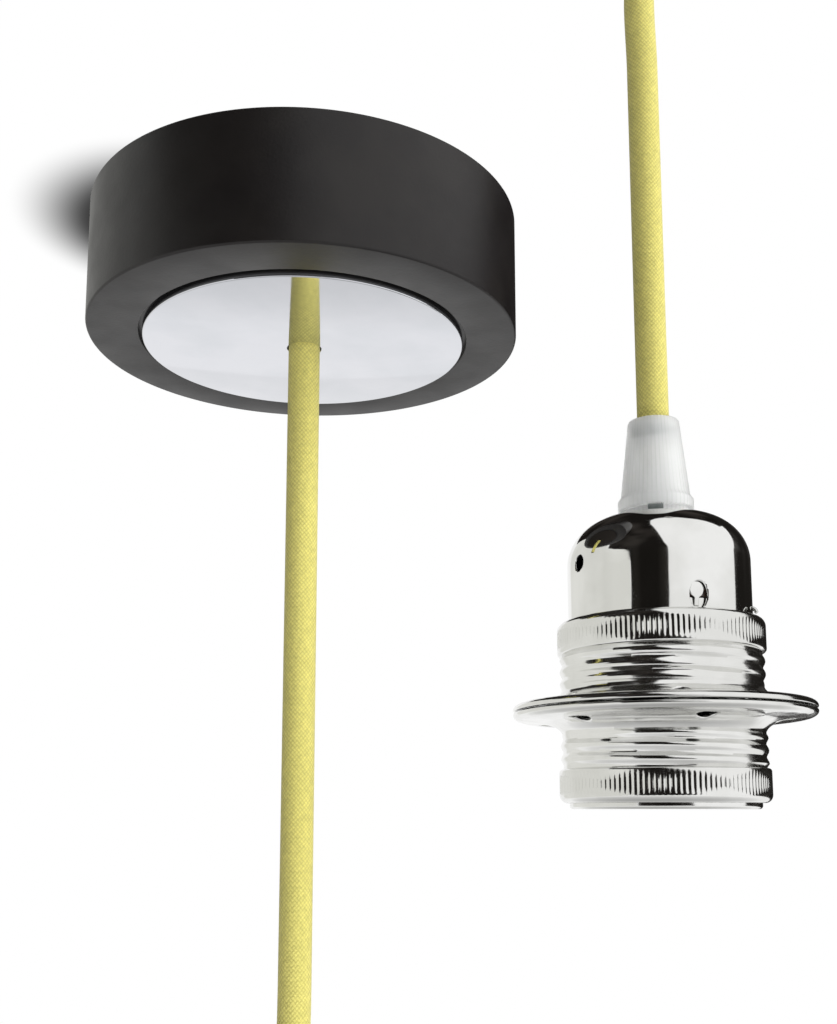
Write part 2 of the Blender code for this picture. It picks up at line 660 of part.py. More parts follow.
def make_cap(holder):
    """Domed cap, drawn from sheet: flat top, elliptical shoulder, straight skirt."""
    top_flat = CAP_RADIUS - CAP_SHOULDER
    bend_z = cap_top - CAP_SHOULDER_DROP
    outside = arc((top_flat, bend_z), (CAP_SHOULDER, CAP_SHOULDER_DROP), 90, 0, 7)
    inside = arc(
        (top_flat, bend_z), (CAP_SHOULDER - CAP_WALL, CAP_SHOULDER_DROP - CAP_WALL), 0, 90, 5
    )
    hole = NIPPLE_RADIUS + GAP
    cap = turned("dome_cap", [
        (hole, cap_top), *outside, (CAP_RADIUS, cap_foot), (CAP_RADIUS - CAP_WALL, cap_foot),
        *inside, (hole, cap_top - CAP_WALL),
    ], CHROME, holder)
    round_hole = rod_cutter("cap_round_hole", CAP_ROUND_HOLE, 0.008, holder, segments=20)
    front_turned(round_hole, CAP_ROUND_HOLE_TURN, CAP_RADIUS, cap_top - CAP_ROUND_HOLE_DROP)
    cut(cap, round_hole)
    window = rod_cutter(
        "cap_window", WINDOW_WIDTH / 2, 0.0030, holder, WINDOW_HEIGHT / WINDOW_WIDTH, 24
    )
    front_turned(window, WINDOW_TURN, CAP_RADIUS, cap_top - WINDOW_DROP)
    cut(cap, window)


def make_sleeve(holder):
    """Threaded sleeve: a neck inside the cap, the shade rings' thread, a rolled mouth."""
    inside = SLEEVE_RADIUS - SLEEVE_WALL
    plain = sleeve_foot + SLEEVE_PLAIN_END
    mouth = SLEEVE_RADIUS - RIM_WIDTH
    half = RIM_HEIGHT / 2
    turned("threaded_sleeve", [
        (neck_radius, neck_top),
        (neck_radius, sleeve_top),
        (THREAD_RADIUS, sleeve_top),
        (THREAD_RADIUS, plain + 0.0004),
        (SLEEVE_RADIUS, plain),
        (SLEEVE_RADIUS, sleeve_foot + half),
        (SLEEVE_RADIUS - 0.0006, sleeve_foot),
        (mouth + 0.0004, sleeve_foot),
        (mouth, sleeve_foot + half),
        (mouth, sleeve_foot + RIM_HEIGHT),
        (inside, sleeve_foot + RIM_HEIGHT),
        (inside, sleeve_top - SLEEVE_WALL),
        (neck_radius - SLEEVE_WALL, sleeve_top - SLEEVE_WALL),
        (neck_radius - SLEEVE_WALL, neck_top),
    ], CHROME, holder)


def ring_profile():
    """Section of a shade ring, with height 0 on its flange face and growing to its free edge.
    The sheet runs out along the flange, up the flare, over the rolled thread, and along the
    knurled band to a turned-in margin. Inside, the bore clears the sleeve's thread."""
    bore = THREAD_RADIUS + THREAD_PLAY
    valley = bore + RING_SHEET
    crest = RING_RIDGE_RADIUS
    band_foot = RING_HEIGHT - RING_MARGIN - RING_BAND_HEIGHT - RING_PLAIN_HEIGHT
    thread_foot = band_foot - RIDGE_COUNT * RIDGE_PITCH
    outer = [
        (RING_FLANGE_RADIUS, 0.0),
        (RING_FLANGE_RADIUS, RING_FLANGE_LIP * 0.6),
        (RING_FLANGE_RADIUS - 0.0006, RING_FLANGE_LIP),
        (valley + 0.0052, thread_foot - 0.0016),
        (valley + 0.0016, thread_foot - 0.0006),
        (valley, thread_foot + 0.0010),
    ]
    for k in range(RIDGE_COUNT):
        middle = thread_foot + (k + 0.5) * RIDGE_PITCH
        outer += [(crest, middle), (valley, middle + RIDGE_PITCH / 2)]
    band = RING_BAND_RADIUS
    outer += [
        (band, band_foot + RING_PLAIN_HEIGHT),
        (band, RING_HEIGHT - RING_MARGIN),
        (band - 0.0006, RING_HEIGHT - 0.0004),
        (bore + RING_SHEET, RING_HEIGHT),
    ]
    inner = [
        (bore, RING_HEIGHT),
        (bore, RING_HEIGHT - RING_SHEET),
        (band - RING_SHEET, RING_HEIGHT - RING_MARGIN),
        (band - RING_SHEET, band_foot + RING_PLAIN_HEIGHT),
        (bore, band_foot),
        (bore, thread_foot + 0.0010),
        (bore + 0.0014, thread_foot - 0.0010),
        (bore + 0.0052, thread_foot - 0.0016 - RING_SHEET),
        (RING_FLANGE_RADIUS - 0.0014, 0.0),
    ]
    return outer + inner


def make_ring(name, holder, upwards, vent_turn):
    """One shade ring. The upper ring stands on the joint plane and the lower hangs from it."""
    way = 1 if upwards else -1
    face = flange_z + way * GAP / 2
    ring = turned(name, [(r, face + way * h) for r, h in ring_profile()], CHROME, holder)
    for k in range(VENT_COUNT):
        bearing = radians(vent_turn + 360 * k / VENT_COUNT)
        vent = rod_cutter(f"{name}_vent_{k}", VENT_RADIUS, 0.008, holder, segments=10)
        vent.location = (
            VENT_CIRCLE * sin(bearing), -VENT_CIRCLE * cos(bearing), face + way * RING_FLANGE_LIP
        )
        cut(ring, vent)
    cut(ring, make_knurl(name, holder, face, way))


def make_knurl(name, holder, face, way):
    """Cutter for the knurled band: a ring whose inner wall zigzags between the band's own
    surface and the foot of the grooves."""
    clear = RING_BAND_RADIUS + GAP
    far = clear + RING_SHEET
    top = face + way * (RING_HEIGHT - RING_MARGIN)
    low = top - way * RING_BAND_HEIGHT
    cutter = turned(
        f"{name}_knurl", [(clear, low), (far, low), (far, top), (clear, top)], RUBBER, holder, 2 * KNURL_COUNT
    )
    inwards = (RING_BAND_RADIUS - KNURL_DEPTH) / clear
    for point in cutter.data.vertices:
        reach = Vector((point.co.x, point.co.y, 0.0)).length
        step = round(atan2(point.co.y, point.co.x) / pi * KNURL_COUNT)
        if reach < clear + GAP / 2 and step % 2:
            point.co.x *= inwards
            point.co.y *= inwards
    cutter.hide_render = True
    cutter.display_type = "WIRE"
    return cutter


def make_insert(holder):
    """Phenolic insert that carries the terminals, its liner, and the lamp's screw shell."""
    flange_top = insert_seat + INSERT_FLANGE_HEIGHT
    body = neck_radius - SLEEVE_WALL - GAP
    turned("insert_core", [
        (0.0, insert_top), (TERMINAL_CIRCLE + 0.0040, insert_top), (body, flange_top),
        (neck_radius, flange_top), (neck_radius, insert_seat), (body, insert_seat),
        (body, insert_foot), (0.0, insert_foot),
    ], PHENOLIC, holder, 30)
    bore = liner_radius - LINER_WALL
    turned("insert_liner", [
        (bore, liner_top), (liner_radius, liner_top), (liner_radius, liner_foot),
        (bore + 0.0008, liner_foot), (bore, liner_foot + 0.0010),
    ], PHENOLIC, holder, 30)
    outer = []
    inner = []
    top = insert_foot - GAP
    for k in range(2 * SHELL_TURNS + 1):
        z = top - k * SHELL_PITCH / 2
        wave = SHELL_WAVE if k % 2 else 0.0
        inner.append((SHELL_BORE + wave, z))
        outer.append((SHELL_BORE + SHELL_SHEET + wave, z))
    turned("lamp_screw_shell", outer + inner[::-1], BRASS, holder, 22)
    make_contact(holder)


def make_contact(holder):
    """Bent strip of brass that springs against the lamp's centre contact."""
    t = CONTACT_SHEET
    top = insert_foot - GAP
    reach = CONTACT_REACH
    foot = top - CONTACT_DROP
    bend = reach * CONTACT_BEND
    pad = reach * CONTACT_PAD
    lip = reach * CONTACT_LIP
    extruded("centre_contact", [
        (-reach, top), (bend, top), (bend, top - t), (pad, foot),
        (-pad, foot), (-lip, foot + t), (-lip, foot + 2 * t), (-pad, foot + t),
        (reach * CONTACT_RETURN, foot + t), (reach * CONTACT_ROOT, top - t), (-reach, top - t),
    ], CONTACT_WIDTH, BRASS, holder)


def make_terminals(holder):
    """Three brass terminals on the insert, each with a screw and the end of a core."""
    width, depth, height = TERMINAL_SIZE
    z = insert_top + GAP + height / 2
    for k, core in enumerate(("brown", "earth", "blue")):
        bearing = radians(30 + 120 * k)
        x, y = TERMINAL_CIRCLE * sin(bearing), -TERMINAL_CIRCLE * cos(bearing)
        terminal = block(f"holder_terminal_{k + 1}", TERMINAL_SIZE, BRASS, holder, edge=0.0004)
        terminal.rotation_euler = (0.0, 0.0, bearing)
        terminal.location = (x, y, z)
        hole = rod_cutter(
            f"terminal_tap_{k}", TERMINAL_SCREW_RADIUS + GAP, 0.0060, holder, segments=12
        )
        hole.location = (x, y, z + height / 2)
        cut(terminal, hole)
        head = z + height / 2 + GAP
        screw = turned(f"holder_terminal_screw_{k + 1}", [
            (0.0, head - 0.0028), (TERMINAL_SCREW_RADIUS, head - 0.0028),
            (TERMINAL_SCREW_RADIUS, head), (TERMINAL_SCREW_HEAD, head),
            (TERMINAL_SCREW_HEAD, head + 0.0010), (0.0, head + 0.0010),
        ], ZINC_STEEL, holder, 16)
        screw.location = (x, y, 0.0)
        out = Vector((x, y, 0.0)).normalized()
        begin = out * 0.0014 + Vector((0.0, 0.0, sheath_end_z - GAP))
        side = TERMINAL_CIRCLE - depth / 2 - GAP
        end = out * side + Vector((0.0, 0.0, z))
        line = smooth_line([
            begin, begin - Vector((0.0, 0.0, 0.0015)),
            out * (side * CORE_BEND) + Vector((0.0, 0.0, (begin.z + end.z) / 2 - CORE_DIP)),
            end - out * 0.0022, end,
        ], 7)
        tube(f"holder_core_{core}", line, CORE_RADIUS, CORE_COLOURS[core], holder)


def make_sheath(holder):
    """Bare inner sheath, from the end of the braid down through the grip and the nipple."""
    line = [Vector((0.0, 0.0, cord_end_z - GAP + (sheath_end_z - cord_end_z + GAP) * k / 8))
            for k in range(9)]
    tube("inner_sheath", line, SHEATH_RADIUS, SHEATH, holder)


rose_axis = empty("rose_axis", (0.0, 0.0, 0.0))
holder_axis = empty("holder_axis", (HOLDER_X, 0.0, 0.0))
make_canopy(rose_axis)
make_disc(rose_axis)
make_bracket(rose_axis)
make_rose_clamp(rose_axis)
make_terminal_block(rose_axis)
make_hook(make_cord())
make_grip(holder_axis)
make_sheath(holder_axis)
make_cap(holder_axis)
make_sleeve(holder_axis)
make_ring("upper_shade_ring", holder_axis, True, UPPER_VENT_TURN)
make_ring("lower_shade_ring", holder_axis, False, LOWER_VENT_TURN)
make_insert(holder_axis)
make_terminals(holder_axis)
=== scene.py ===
import math
import bmesh
import bpy
import numpy as np
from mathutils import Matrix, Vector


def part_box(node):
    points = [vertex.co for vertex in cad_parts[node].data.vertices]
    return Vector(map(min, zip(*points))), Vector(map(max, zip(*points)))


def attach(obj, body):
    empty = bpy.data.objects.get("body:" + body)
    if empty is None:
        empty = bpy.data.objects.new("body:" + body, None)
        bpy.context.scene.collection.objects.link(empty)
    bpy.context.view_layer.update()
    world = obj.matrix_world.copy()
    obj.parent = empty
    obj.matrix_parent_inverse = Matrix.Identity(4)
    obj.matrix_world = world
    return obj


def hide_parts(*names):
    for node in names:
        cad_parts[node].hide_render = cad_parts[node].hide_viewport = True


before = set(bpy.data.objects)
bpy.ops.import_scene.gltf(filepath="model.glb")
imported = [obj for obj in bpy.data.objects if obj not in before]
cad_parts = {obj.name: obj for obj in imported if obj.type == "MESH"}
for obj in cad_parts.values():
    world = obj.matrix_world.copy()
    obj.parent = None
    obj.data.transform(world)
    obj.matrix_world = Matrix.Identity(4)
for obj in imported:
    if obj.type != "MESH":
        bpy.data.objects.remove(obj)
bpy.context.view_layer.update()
print("frame loaded,", len(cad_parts), "CAD nodes")


def hexColour(code):  # sRGB hex to the linear colour that shaders take
    part = np.array([int(code[k:k + 2], 16) for k in (1, 3, 5)]) / 255
    linear = np.where(part <= 0.04045, part / 12.92, ((part + 0.055) / 1.055) ** 2.4)
    return (*(float(x) for x in linear), 1.0)


def addNode(tree, kind, settings=None, links=None):  # one node, its settings and what feeds it
    node = tree.nodes.new(kind)
    for key, value in (settings or {}).items():
        if key == "stops":
            while len(node.color_ramp.elements) < len(value):
                node.color_ramp.elements.new(0.5)
            for element, (place, colour) in zip(node.color_ramp.elements, value):
                element.position = place
                element.color = colour
        elif isinstance(key, int) or key in node.inputs.keys():
            node.inputs[key].default_value = value
        else:
            setattr(node, key, value)
    for key, source in (links or {}).items():
        tree.links.new(source, node.inputs[key])
    return node


def calc(tree, operation, *terms):  # a math node, each term a number or another node's output
    settings, links = {"operation": operation}, {}
    for k, term in enumerate(terms):
        (settings if isinstance(term, float) else links)[k] = term
    return addNode(tree, "ShaderNodeMath", settings, links).outputs[0]


def mixed(tree, share, first, second, kind="ShaderNodeMixShader"):  # two shaders, or two values, by a share
    a, b = (1, 2) if kind == "ShaderNodeMixShader" else (2, 3)
    return addNode(tree, kind, None, {0: share, a: first, b: second}).outputs[0]


def ownMap(tree):  # the piece's own UV map, split into share of a turn (X) and metres along (Y)
    uvMap = addNode(tree, "ShaderNodeUVMap", {"uv_map": "turnAndLength"})
    return addNode(tree, "ShaderNodeSeparateXYZ", None, {"Vector": uvMap.outputs["UV"]})


def startMaterial(name, settings):  # a material whose own shader takes these values
    material = bpy.data.materials.new(name)
    material.use_nodes = True
    tree = material.node_tree
    shader = tree.nodes["Principled BSDF"]
    for key, value in settings.items():
        shader.inputs[key].default_value = value
    return material, tree, shader


def unevenness(tree, sizeMm, low, high, detail=3.0, stretch=(1, 1, 1)):
    # noise with features of a real size, spread between two values
    place = addNode(tree, "ShaderNodeTexCoord")
    scaled = addNode(tree, "ShaderNodeMapping", {"Scale": stretch}, {"Vector": place.outputs["Object"]})
    noise = addNode(tree, "ShaderNodeTexNoise", {"Scale": 1000 / sizeMm, "Detail": detail},
                    {"Vector": scaled.outputs["Vector"]})
    spread = addNode(tree, "ShaderNodeMapRange",
                     {"From Min": 0.3, "From Max": 0.7, "To Min": low, "To Max": high},
                     {"Value": noise.outputs["Fac"]})
    return spread.outputs["Result"]


def bumpFrom(tree, shader, height, depthMm):  # a height between 0 and 1, made a real depth
    bump = addNode(tree, "ShaderNodeBump", {"Distance": depthMm / 1000, "Strength": 1.0}, {"Height": height})
    tree.links.new(bump.outputs["Normal"], shader.inputs["Normal"])


def arcPoints(centre, radii, start, end, steps):
    # part of a circle, or of an ellipse if radii is a pair, in (radius, height); the ends in degrees
    turn = np.radians(np.linspace(start, end, steps + 1))[:, None]
    return np.array(centre) + np.array(radii) * np.hstack([np.cos(turn), np.sin(turn)])


def rising(value, start, width):  # 0 up to start, 1 from start + width on, straight between
    return np.clip((value - start) / width, 0, 1)


def helixWave(turn, height, pitch):  # from 0 to 1 and back once a pitch, along a helix
    return 0.5 - 0.5 * np.cos(2 * np.pi * height / pitch + turn)


def ribWave(turn, count):  # from 1 to 0 and back, count times round the turn
    return 0.5 + 0.5 * np.cos(count * turn)


def walked(profile, step):  # the profile read at nearly equal steps, its own corners kept
    profile = np.asarray(profile, float)
    rows = []
    for a, b in zip(profile, profile[1:]):
        count = max(1, int(round(np.linalg.norm(b - a) / step)))
        rows.append(a + (b - a) * np.arange(count)[:, None] / count)
    return np.vstack([*rows, profile[-1:]])


sharpAngle = 35.0  # degrees; edges flatter than this are shaded smooth


def makePiece(name, points, material, body, closeTurn=True, closeRows=False, keep=None, outwards=True,
              capEnds=False):
    # Rows and columns of points become a mesh: each cell of the grid is one quad. Its UV map
    # holds the column's share of a turn and the metres walked along the rows.
    rows, columns = points.shape[:2]
    i, j = np.meshgrid(np.arange(rows if closeRows else rows - 1),
                       np.arange(columns if closeTurn else columns - 1), indexing="ij")
    nextI, nextJ = (i + 1) % rows, (j + 1) % columns
    quads = np.stack([i * columns + j, i * columns + nextJ, nextI * columns + nextJ, nextI * columns + j], -1)
    walk = np.linalg.norm(np.diff(points[:, 0], axis=0), axis=1)
    metres = np.concatenate([[0.0], np.cumsum(walk), [walk.sum() + 0.001]])
    uv = np.stack([np.stack([j, j + 1, j + 1, j], -1) / columns,
                   np.stack([metres[i], metres[i], metres[i + 1], metres[i + 1]], -1)], -1)
    quads, uv = quads.reshape(-1, 4), uv.reshape(-1, 4, 2)
    if keep is not None:
        quads, uv = quads[keep.ravel()], uv[keep.ravel()]
    if not outwards:
        quads, uv = quads[:, ::-1], uv[:, ::-1]
    faces = quads.tolist()
    if capEnds:
        faces += [list(range(columns))[::-1], list(range((rows - 1) * columns, rows * columns))]
    mesh = bpy.data.meshes.new(name)
    mesh.from_pydata(points.reshape(-1, 3).tolist(), [], faces)
    layer = mesh.uv_layers.new(name="turnAndLength")
    flat = np.zeros(len(mesh.loops) * 2)
    flat[:uv.size] = uv.ravel()
    layer.data.foreach_set("uv", flat)
    bm = bmesh.new()
    bm.from_mesh(mesh)
    bmesh.ops.remove_doubles(bm, verts=bm.verts, dist=1e-7)
    loose = [v for v in bm.verts if not v.link_faces]
    bmesh.ops.delete(bm, geom=loose, context="VERTS")
    if closeRows or capEnds:
        bmesh.ops.recalc_face_normals(bm, faces=bm.faces)
    bm.to_mesh(mesh)
    bm.free()
    mesh.materials.append(material)
    mesh.shade_smooth()
    mesh.set_sharp_from_angle(angle=math.radians(sharpAngle))
    piece = bpy.data.objects.new(name, mesh)
    bpy.context.scene.collection.objects.link(piece)
    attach(piece, body)
    return piece


def addSheet(piece, thickness):  # the surface gets a thickness, inwards
    solid = piece.modifiers.new("sheet", "SOLIDIFY")
    solid.thickness = thickness
    solid.offset = -1.0
    return solid


def spun(profile, columns, centreX, offset=None):
    # Carries a profile of (radius, height) round the vertical line at centreX. The offset is a
    # function of turn and height that is added to the radius.
    turn = np.linspace(0, 2 * np.pi, columns, endpoint=False)[None, :]
    radius, height = profile[:, 0:1], profile[:, 1:2]
    if offset is not None:
        radius = radius + offset(turn, height)
    return np.stack([centreX + radius * np.sin(turn), -radius * np.cos(turn), height + 0 * turn], -1)


def turnedPiece(name, slotName, profile, columns, centreX, offset=None, **how):
    return makePiece(name, spun(profile, columns, centreX, offset), finish[slotName], "pendant", **how)


def smoothLine(points, steps):
    # Catmull-Rom curve through the points, read at equal steps of its own length.
    points = np.asarray(points, float)
    ends = np.vstack([2 * points[0] - points[1], points, 2 * points[-1] - points[-2]])
    a, b, c, d = ends[:-3, None], ends[1:-2, None], ends[2:-1, None], ends[3:, None]
    t = (np.arange(24) / 24)[None, :, None]
    fine = (2 * b + (c - a) * t + (2 * a - 5 * b + 4 * c - d) * t ** 2 + (3 * b - 3 * c + d - a) * t ** 3) / 2
    fine = np.vstack([fine.reshape(-1, 3), points[-1:]])
    reached = np.concatenate([[0], np.cumsum(np.linalg.norm(np.diff(fine, axis=0), axis=1))])
    want = np.linspace(0, reached[-1], steps + 1)
    line = np.stack([np.interp(want, reached, fine[:, k]) for k in range(3)], axis=1)
    return line, float(reached[-1])


def carried(path, radius, side, columns):
    # A circle carried along a path that lies in the plane square to side. The radius may change
    # from point to point.
    along = np.gradient(path, axis=0)
    along /= np.linalg.norm(along, axis=1, keepdims=True)
    side = np.asarray(side, float)
    across = np.cross(along, side)
    turn = np.linspace(0, 2 * np.pi, columns, endpoint=False)[None, :, None]
    radius = np.broadcast_to(np.asarray(radius, float).reshape(-1, 1, 1), (len(path), 1, 1))
    return path[:, None] + radius * (np.cos(turn) * side + np.sin(turn) * across[:, None])


view = {
    "place": (0.025706, -0.246534, -0.130684),
    "pitch": 8.409,          # degrees above level
    "focalPixels": 1150.0,   # of a picture 1024 pixels high
    "shiftUp": 0.125,
}
cameraData = bpy.data.cameras.new("camera")
cameraData.sensor_width = 36.0
cameraData.lens = view["focalPixels"] * 36.0 / 1024
cameraData.shift_y = view["shiftUp"]
cameraData.clip_start, cameraData.clip_end = 0.01, 20.0
camera = bpy.data.objects.new("camera", cameraData)
camera.location = view["place"]
camera.rotation_euler = (math.radians(90 + view["pitch"]), 0.0, 0.0)
bpy.context.scene.collection.objects.link(camera)
bpy.context.scene.camera = camera
print("camera placed")

finish = {}


def colourRamp(tree, factor, stops):  # colour from a ramp whose stops are (place, hex colour)
    settings = {"stops": [(place, hexColour(code)) for place, code in stops]}
    return addNode(tree, "ShaderNodeValToRGB", settings, {"Fac": factor}).outputs["Color"]


def cloudedMaterial(slotName, name, settings, roughness, toneMm, stops):
    # Roughness and colour both drift by noise. The roughness is the noise's size in mm, its
    # lowest and its highest value, and the colours are the stops of a ramp.
    material, tree, shader = startMaterial(name, settings)
    tree.links.new(unevenness(tree, *roughness), shader.inputs["Roughness"])
    tone = colourRamp(tree, unevenness(tree, toneMm, 0.0, 1.0), stops)
    tree.links.new(tone, shader.inputs["Base Color"])
    finish[slotName] = material
    return tree, shader


# Textile braid over the cable: polyester yarn, woven round it in two opposite spirals.
# To the eye: matt yellow-green with a fine diamond grain, with painted shade darker between the yarns.
braid = {
    # shaded and gap are painted shade: darker colours for where the yarns dip between each other
    "yarn": "#e9e083", "shaded": "#ddd371", "gap": "#ccc26e", "yarnsRound": 24.0, "diamondMm": 1.0,
    "depthMm": 0.08, "bentShare": 0.45,  # the last is how much lower the crossing yarn dips
}
finish["braid"], tree, shader = startMaterial("polyesterBraid", {
    "Roughness": 0.82, "Sheen Weight": 0.25, "Sheen Roughness": 0.45, "Specular IOR Level": 0.3})
split = ownMap(tree)
around = calc(tree, "MULTIPLY", split.outputs["X"], braid["yarnsRound"])
along = calc(tree, "MULTIPLY", split.outputs["Y"], 1000 / braid["diamondMm"])
humps, cells = [], []
for way in (calc(tree, "ADD", around, along), calc(tree, "SUBTRACT", around, along)):
    humps.append(calc(tree, "SINE", calc(tree, "MULTIPLY", calc(tree, "FRACT", way), math.pi)))
    cells.append(calc(tree, "FLOOR", way))
over = calc(tree, "FLOORED_MODULO", calc(tree, "ADD", *cells), 2.0)
upper = mixed(tree, over, *humps, "ShaderNodeMix")
lower = mixed(tree, over, *humps[::-1], "ShaderNodeMix")
bent = calc(tree, "MULTIPLY_ADD", lower, braid["bentShare"], 1 - braid["bentShare"])
weave = calc(tree, "MULTIPLY", upper, bent)
# painted shade: the colour darkens from yarn through shaded to gap where the weave runs low between the yarns
paintedShadeYarns = colourRamp(tree, weave, [(0.05, braid["gap"]), (0.45, braid["shaded"]), (0.85, braid["yarn"])])
tint = addNode(tree, "ShaderNodeHueSaturation", None,
               {"Color": paintedShadeYarns, "Value": unevenness(tree, 1.1, 0.9, 1.1)})
tree.links.new(tint.outputs["Color"], shader.inputs["Base Color"])
bumpFrom(tree, shader, weave, braid["depthMm"])

# Satin lacquer sprayed on pressed steel. To the eye: near black, soft broad reflections, and a
# faint orange peel.
tree, shader = cloudedMaterial("black_lacquer", "blackSatinLacquer", {"IOR": 1.45}, (9.0, 0.36, 0.44), 14.0,
                               [(0.3, "#151212"), (0.7, "#1a1716")])
bumpFrom(tree, shader, unevenness(tree, 0.7, 0.0, 1.0, 1.0), 0.006)

# Stainless steel, polished to a mirror after fine circular grinding. To the eye: a pale grey mirror.
cloudedMaterial("polished_steel", "polishedStainlessSteel", {"Metallic": 1.0}, (6.0, 0.04, 0.07), 18.0,
                [(0.2, "#d8dadf"), (0.8, "#dfe0e5")])

# Bright chromium plate on drawn steel sheet. To the eye: a clear mirror, barely warm, with
# slight waves from drawing. On the rolled threads and the knurled bands the sheet has been
# worked harder, so that they mirror less sharply.
for slotName, roughness, waveMm, waveDepth in (("chrome", (5.0, 0.05, 0.085), 7.0, 0.03),
                                               ("rolled_chrome", (5.0, 0.095, 0.17), 3.0, 0.02)):
    tree, shader = cloudedMaterial(slotName, "chromePlate_" + slotName, {"Metallic": 1.0}, roughness, 12.0,
                                   [(0.2, "#e0e0dd"), (0.8, "#ebebe9")])
    bumpFrom(tree, shader, unevenness(tree, waveMm, 0.0, 1.0, 0.0), waveDepth)

# Inside of the drawn cap, where the plating is thin and dull. Its dark grey-brown colour is partly painted
# shade inside the cap, seen through its holes. To the eye: dark grey-brown, dull.
cloudedMaterial("drawn_inside", "drawnSteelInsidePaintedShade", {"Metallic": 1.0}, (2.0, 0.45, 0.6), 3.0,
                [(0.2, "#4c4843"), (0.8, "#5d5850")])

# Steel with bright zinc plating. To the eye: grey-blue metal, cloudy, half dull.
cloudedMaterial("zinc_steel", "zincPlatedSteel", {"Metallic": 1.0}, (2.0, 0.25, 0.48), 3.5,
                [(0.0, "#a9adb0"), (0.55, "#c3c6c8"), (1.0, "#cfcab9")])

# Turned and stamped brass. To the eye: warm yellow metal with darker handling marks.
cloudedMaterial("brass", "stampedBrass", {"Metallic": 1.0}, (1.8, 0.22, 0.38), 4.0,
                [(0.1, "#c39a54"), (0.6, "#dcbb78"), (1.0, "#e4c98f")])

# Moulded nylon. To the eye: warm white, dull sheen, slight clouding.
cloudedMaterial("white_nylon", "mouldedNylon",
                {"IOR": 1.53, "Subsurface Weight": 0.15, "Subsurface Scale": 0.001},
                (1.5, 0.4, 0.52), 3.0, [(0.2, "#e4e1d8"), (0.8, "#edebe4")])

# Glass-filled nylon of the clamping jaws. To the eye: blue-grey, dull, darker than the milky nut.
cloudedMaterial("grey_nylon", "glassFilledNylon", {"IOR": 1.55}, (1.0, 0.45, 0.6), 1.0,
                [(0.2, "#6f7776"), (0.8, "#868d8b")])

# Phenolic resin with wood-flour filler, pressed. To the eye: dark brown, semi gloss, flecked.
cloudedMaterial("brown_phenolic", "pressedPhenolic", {"IOR": 1.6}, (1.0, 0.3, 0.42), 0.5,
                [(0.15, "#2f2119"), (0.6, "#44342a"), (1.0, "#5b483a")])

# Moulded rubber. To the eye: black, quite dull.
cloudedMaterial("black_rubber", "mouldedRubber", {"IOR": 1.52}, (0.8, 0.62, 0.78), 1.5,
                [(0.2, "#161616"), (0.8, "#222221")])

# Frosted polypropylene, injection moulded. To the eye: milky white that lets light and dark shapes through
# softly.
# The ribs inside show as fine upright streaks of painted light and shade: a wave round the turn,
# stronger and weaker by a slow noise.
frost = {"streaks": 48, "streakMm": 2.5, "faintest": 0.04, "strongest": 0.42, "glow": 0.045}
# the faint white emission (glow) is painted light: the nut shines a little of its own, though it is no lamp
finish["frosted_plastic"], tree, shader = startMaterial("frostedPolypropylene", {
    "IOR": 1.35, "Transmission Weight": 0.62, "Emission Strength": frost["glow"],
    "Emission Color": (1, 1, 1, 1)})
tree.links.new(unevenness(tree, 1.2, 0.3, 0.4), shader.inputs["Roughness"])
# painted light and shade: the inner ribs drawn as paler and darker upright streaks in the base colour
wave = calc(tree, "SINE", calc(tree, "MULTIPLY", ownMap(tree).outputs["X"], 2 * math.pi * frost["streaks"]))
strength = unevenness(tree, frost["streakMm"], frost["faintest"], frost["strongest"], 1.0, (1, 1, 0.1))
paintedRibShade = calc(tree, "MULTIPLY_ADD", wave, strength, 0.5)
tree.links.new(colourRamp(tree, paintedRibShade, [(0.1, "#e9ebe9"), (0.8, "#ffffff")]), shader.inputs["Base Color"])

# Soft PVC on the cable and its cores, extruded. To the eye: smooth, half matt, slightly cloudy,
# the earth core with a sharp yellow stripe on green.
cloud, stripe = (1.2, 0.2, 0.8), (2.4, 0.48, 0.52)  # size in mm, and where the two colours begin
for slotName, dark, light, (bandMm, darkEnd, lightStart) in (
        ("white_sheath", "#dcdbd4", "#e6e5df", cloud), ("brown_core", "#6a3c22", "#7a4a2c", cloud),
        ("blue_core", "#2a5f9e", "#356fb0", cloud), ("green_yellow_core", "#5f9a2b", "#d8cf3a", stripe)):
    finish[slotName], tree, shader = startMaterial("extrudedPvc_" + slotName, {"IOR": 1.54})
    tree.links.new(unevenness(tree, 1.5, 0.38, 0.5), shader.inputs["Roughness"])
    tone = colourRamp(tree, unevenness(tree, bandMm, 0.0, 1.0, 0.0, (1, 1, 0.25)),
                      [(darkEnd, dark), (lightStart, light)])
    tree.links.new(tone, shader.inputs["Base Color"])
print("materials ready,", len(finish))

cordSizes = {
    "radius": 0.0035, "startZ": -0.0132, "endZ": -0.0478, "holderX": 0.078, "legX": 0.136,
    "swagDrop": 0.335, "loopDepth": 0.130, "archRise": 0.0915,
    "exit": (0.0, 0.0, -0.0132), "columns": 32, "steps": 900,
}


def swagRoute():
    # (x, z) at y = 0, as in the part's source: straight down, half an oval loop, straight up,
    # a half circle over the hook, and straight down to the holder
    k = cordSizes
    halfLoop, loopZ = k["legX"] / 2, k["loopDepth"] - k["swagDrop"]
    archRadius = (k["legX"] - k["holderX"]) / 2
    archZ, archX = k["archRise"] - archRadius, k["holderX"] + archRadius
    share, loop, arch = np.arange(5) / 5, np.pi * np.arange(11) / 10, np.pi * np.arange(7) / 6
    return np.vstack([
        np.stack([0 * share, k["startZ"] + (loopZ - k["startZ"]) * share], 1),
        np.stack([halfLoop - halfLoop * np.cos(loop), loopZ - k["loopDepth"] * np.sin(loop)], 1),
        np.stack([0 * share[1:] + k["legX"], loopZ + (archZ - loopZ) * share[1:]], 1),
        np.stack([archX + archRadius * np.cos(arch), archZ + archRadius * np.sin(arch)], 1),
        np.stack([0 * share + k["holderX"], archZ + (k["endZ"] - archZ) * (share + 0.2)], 1),
    ])


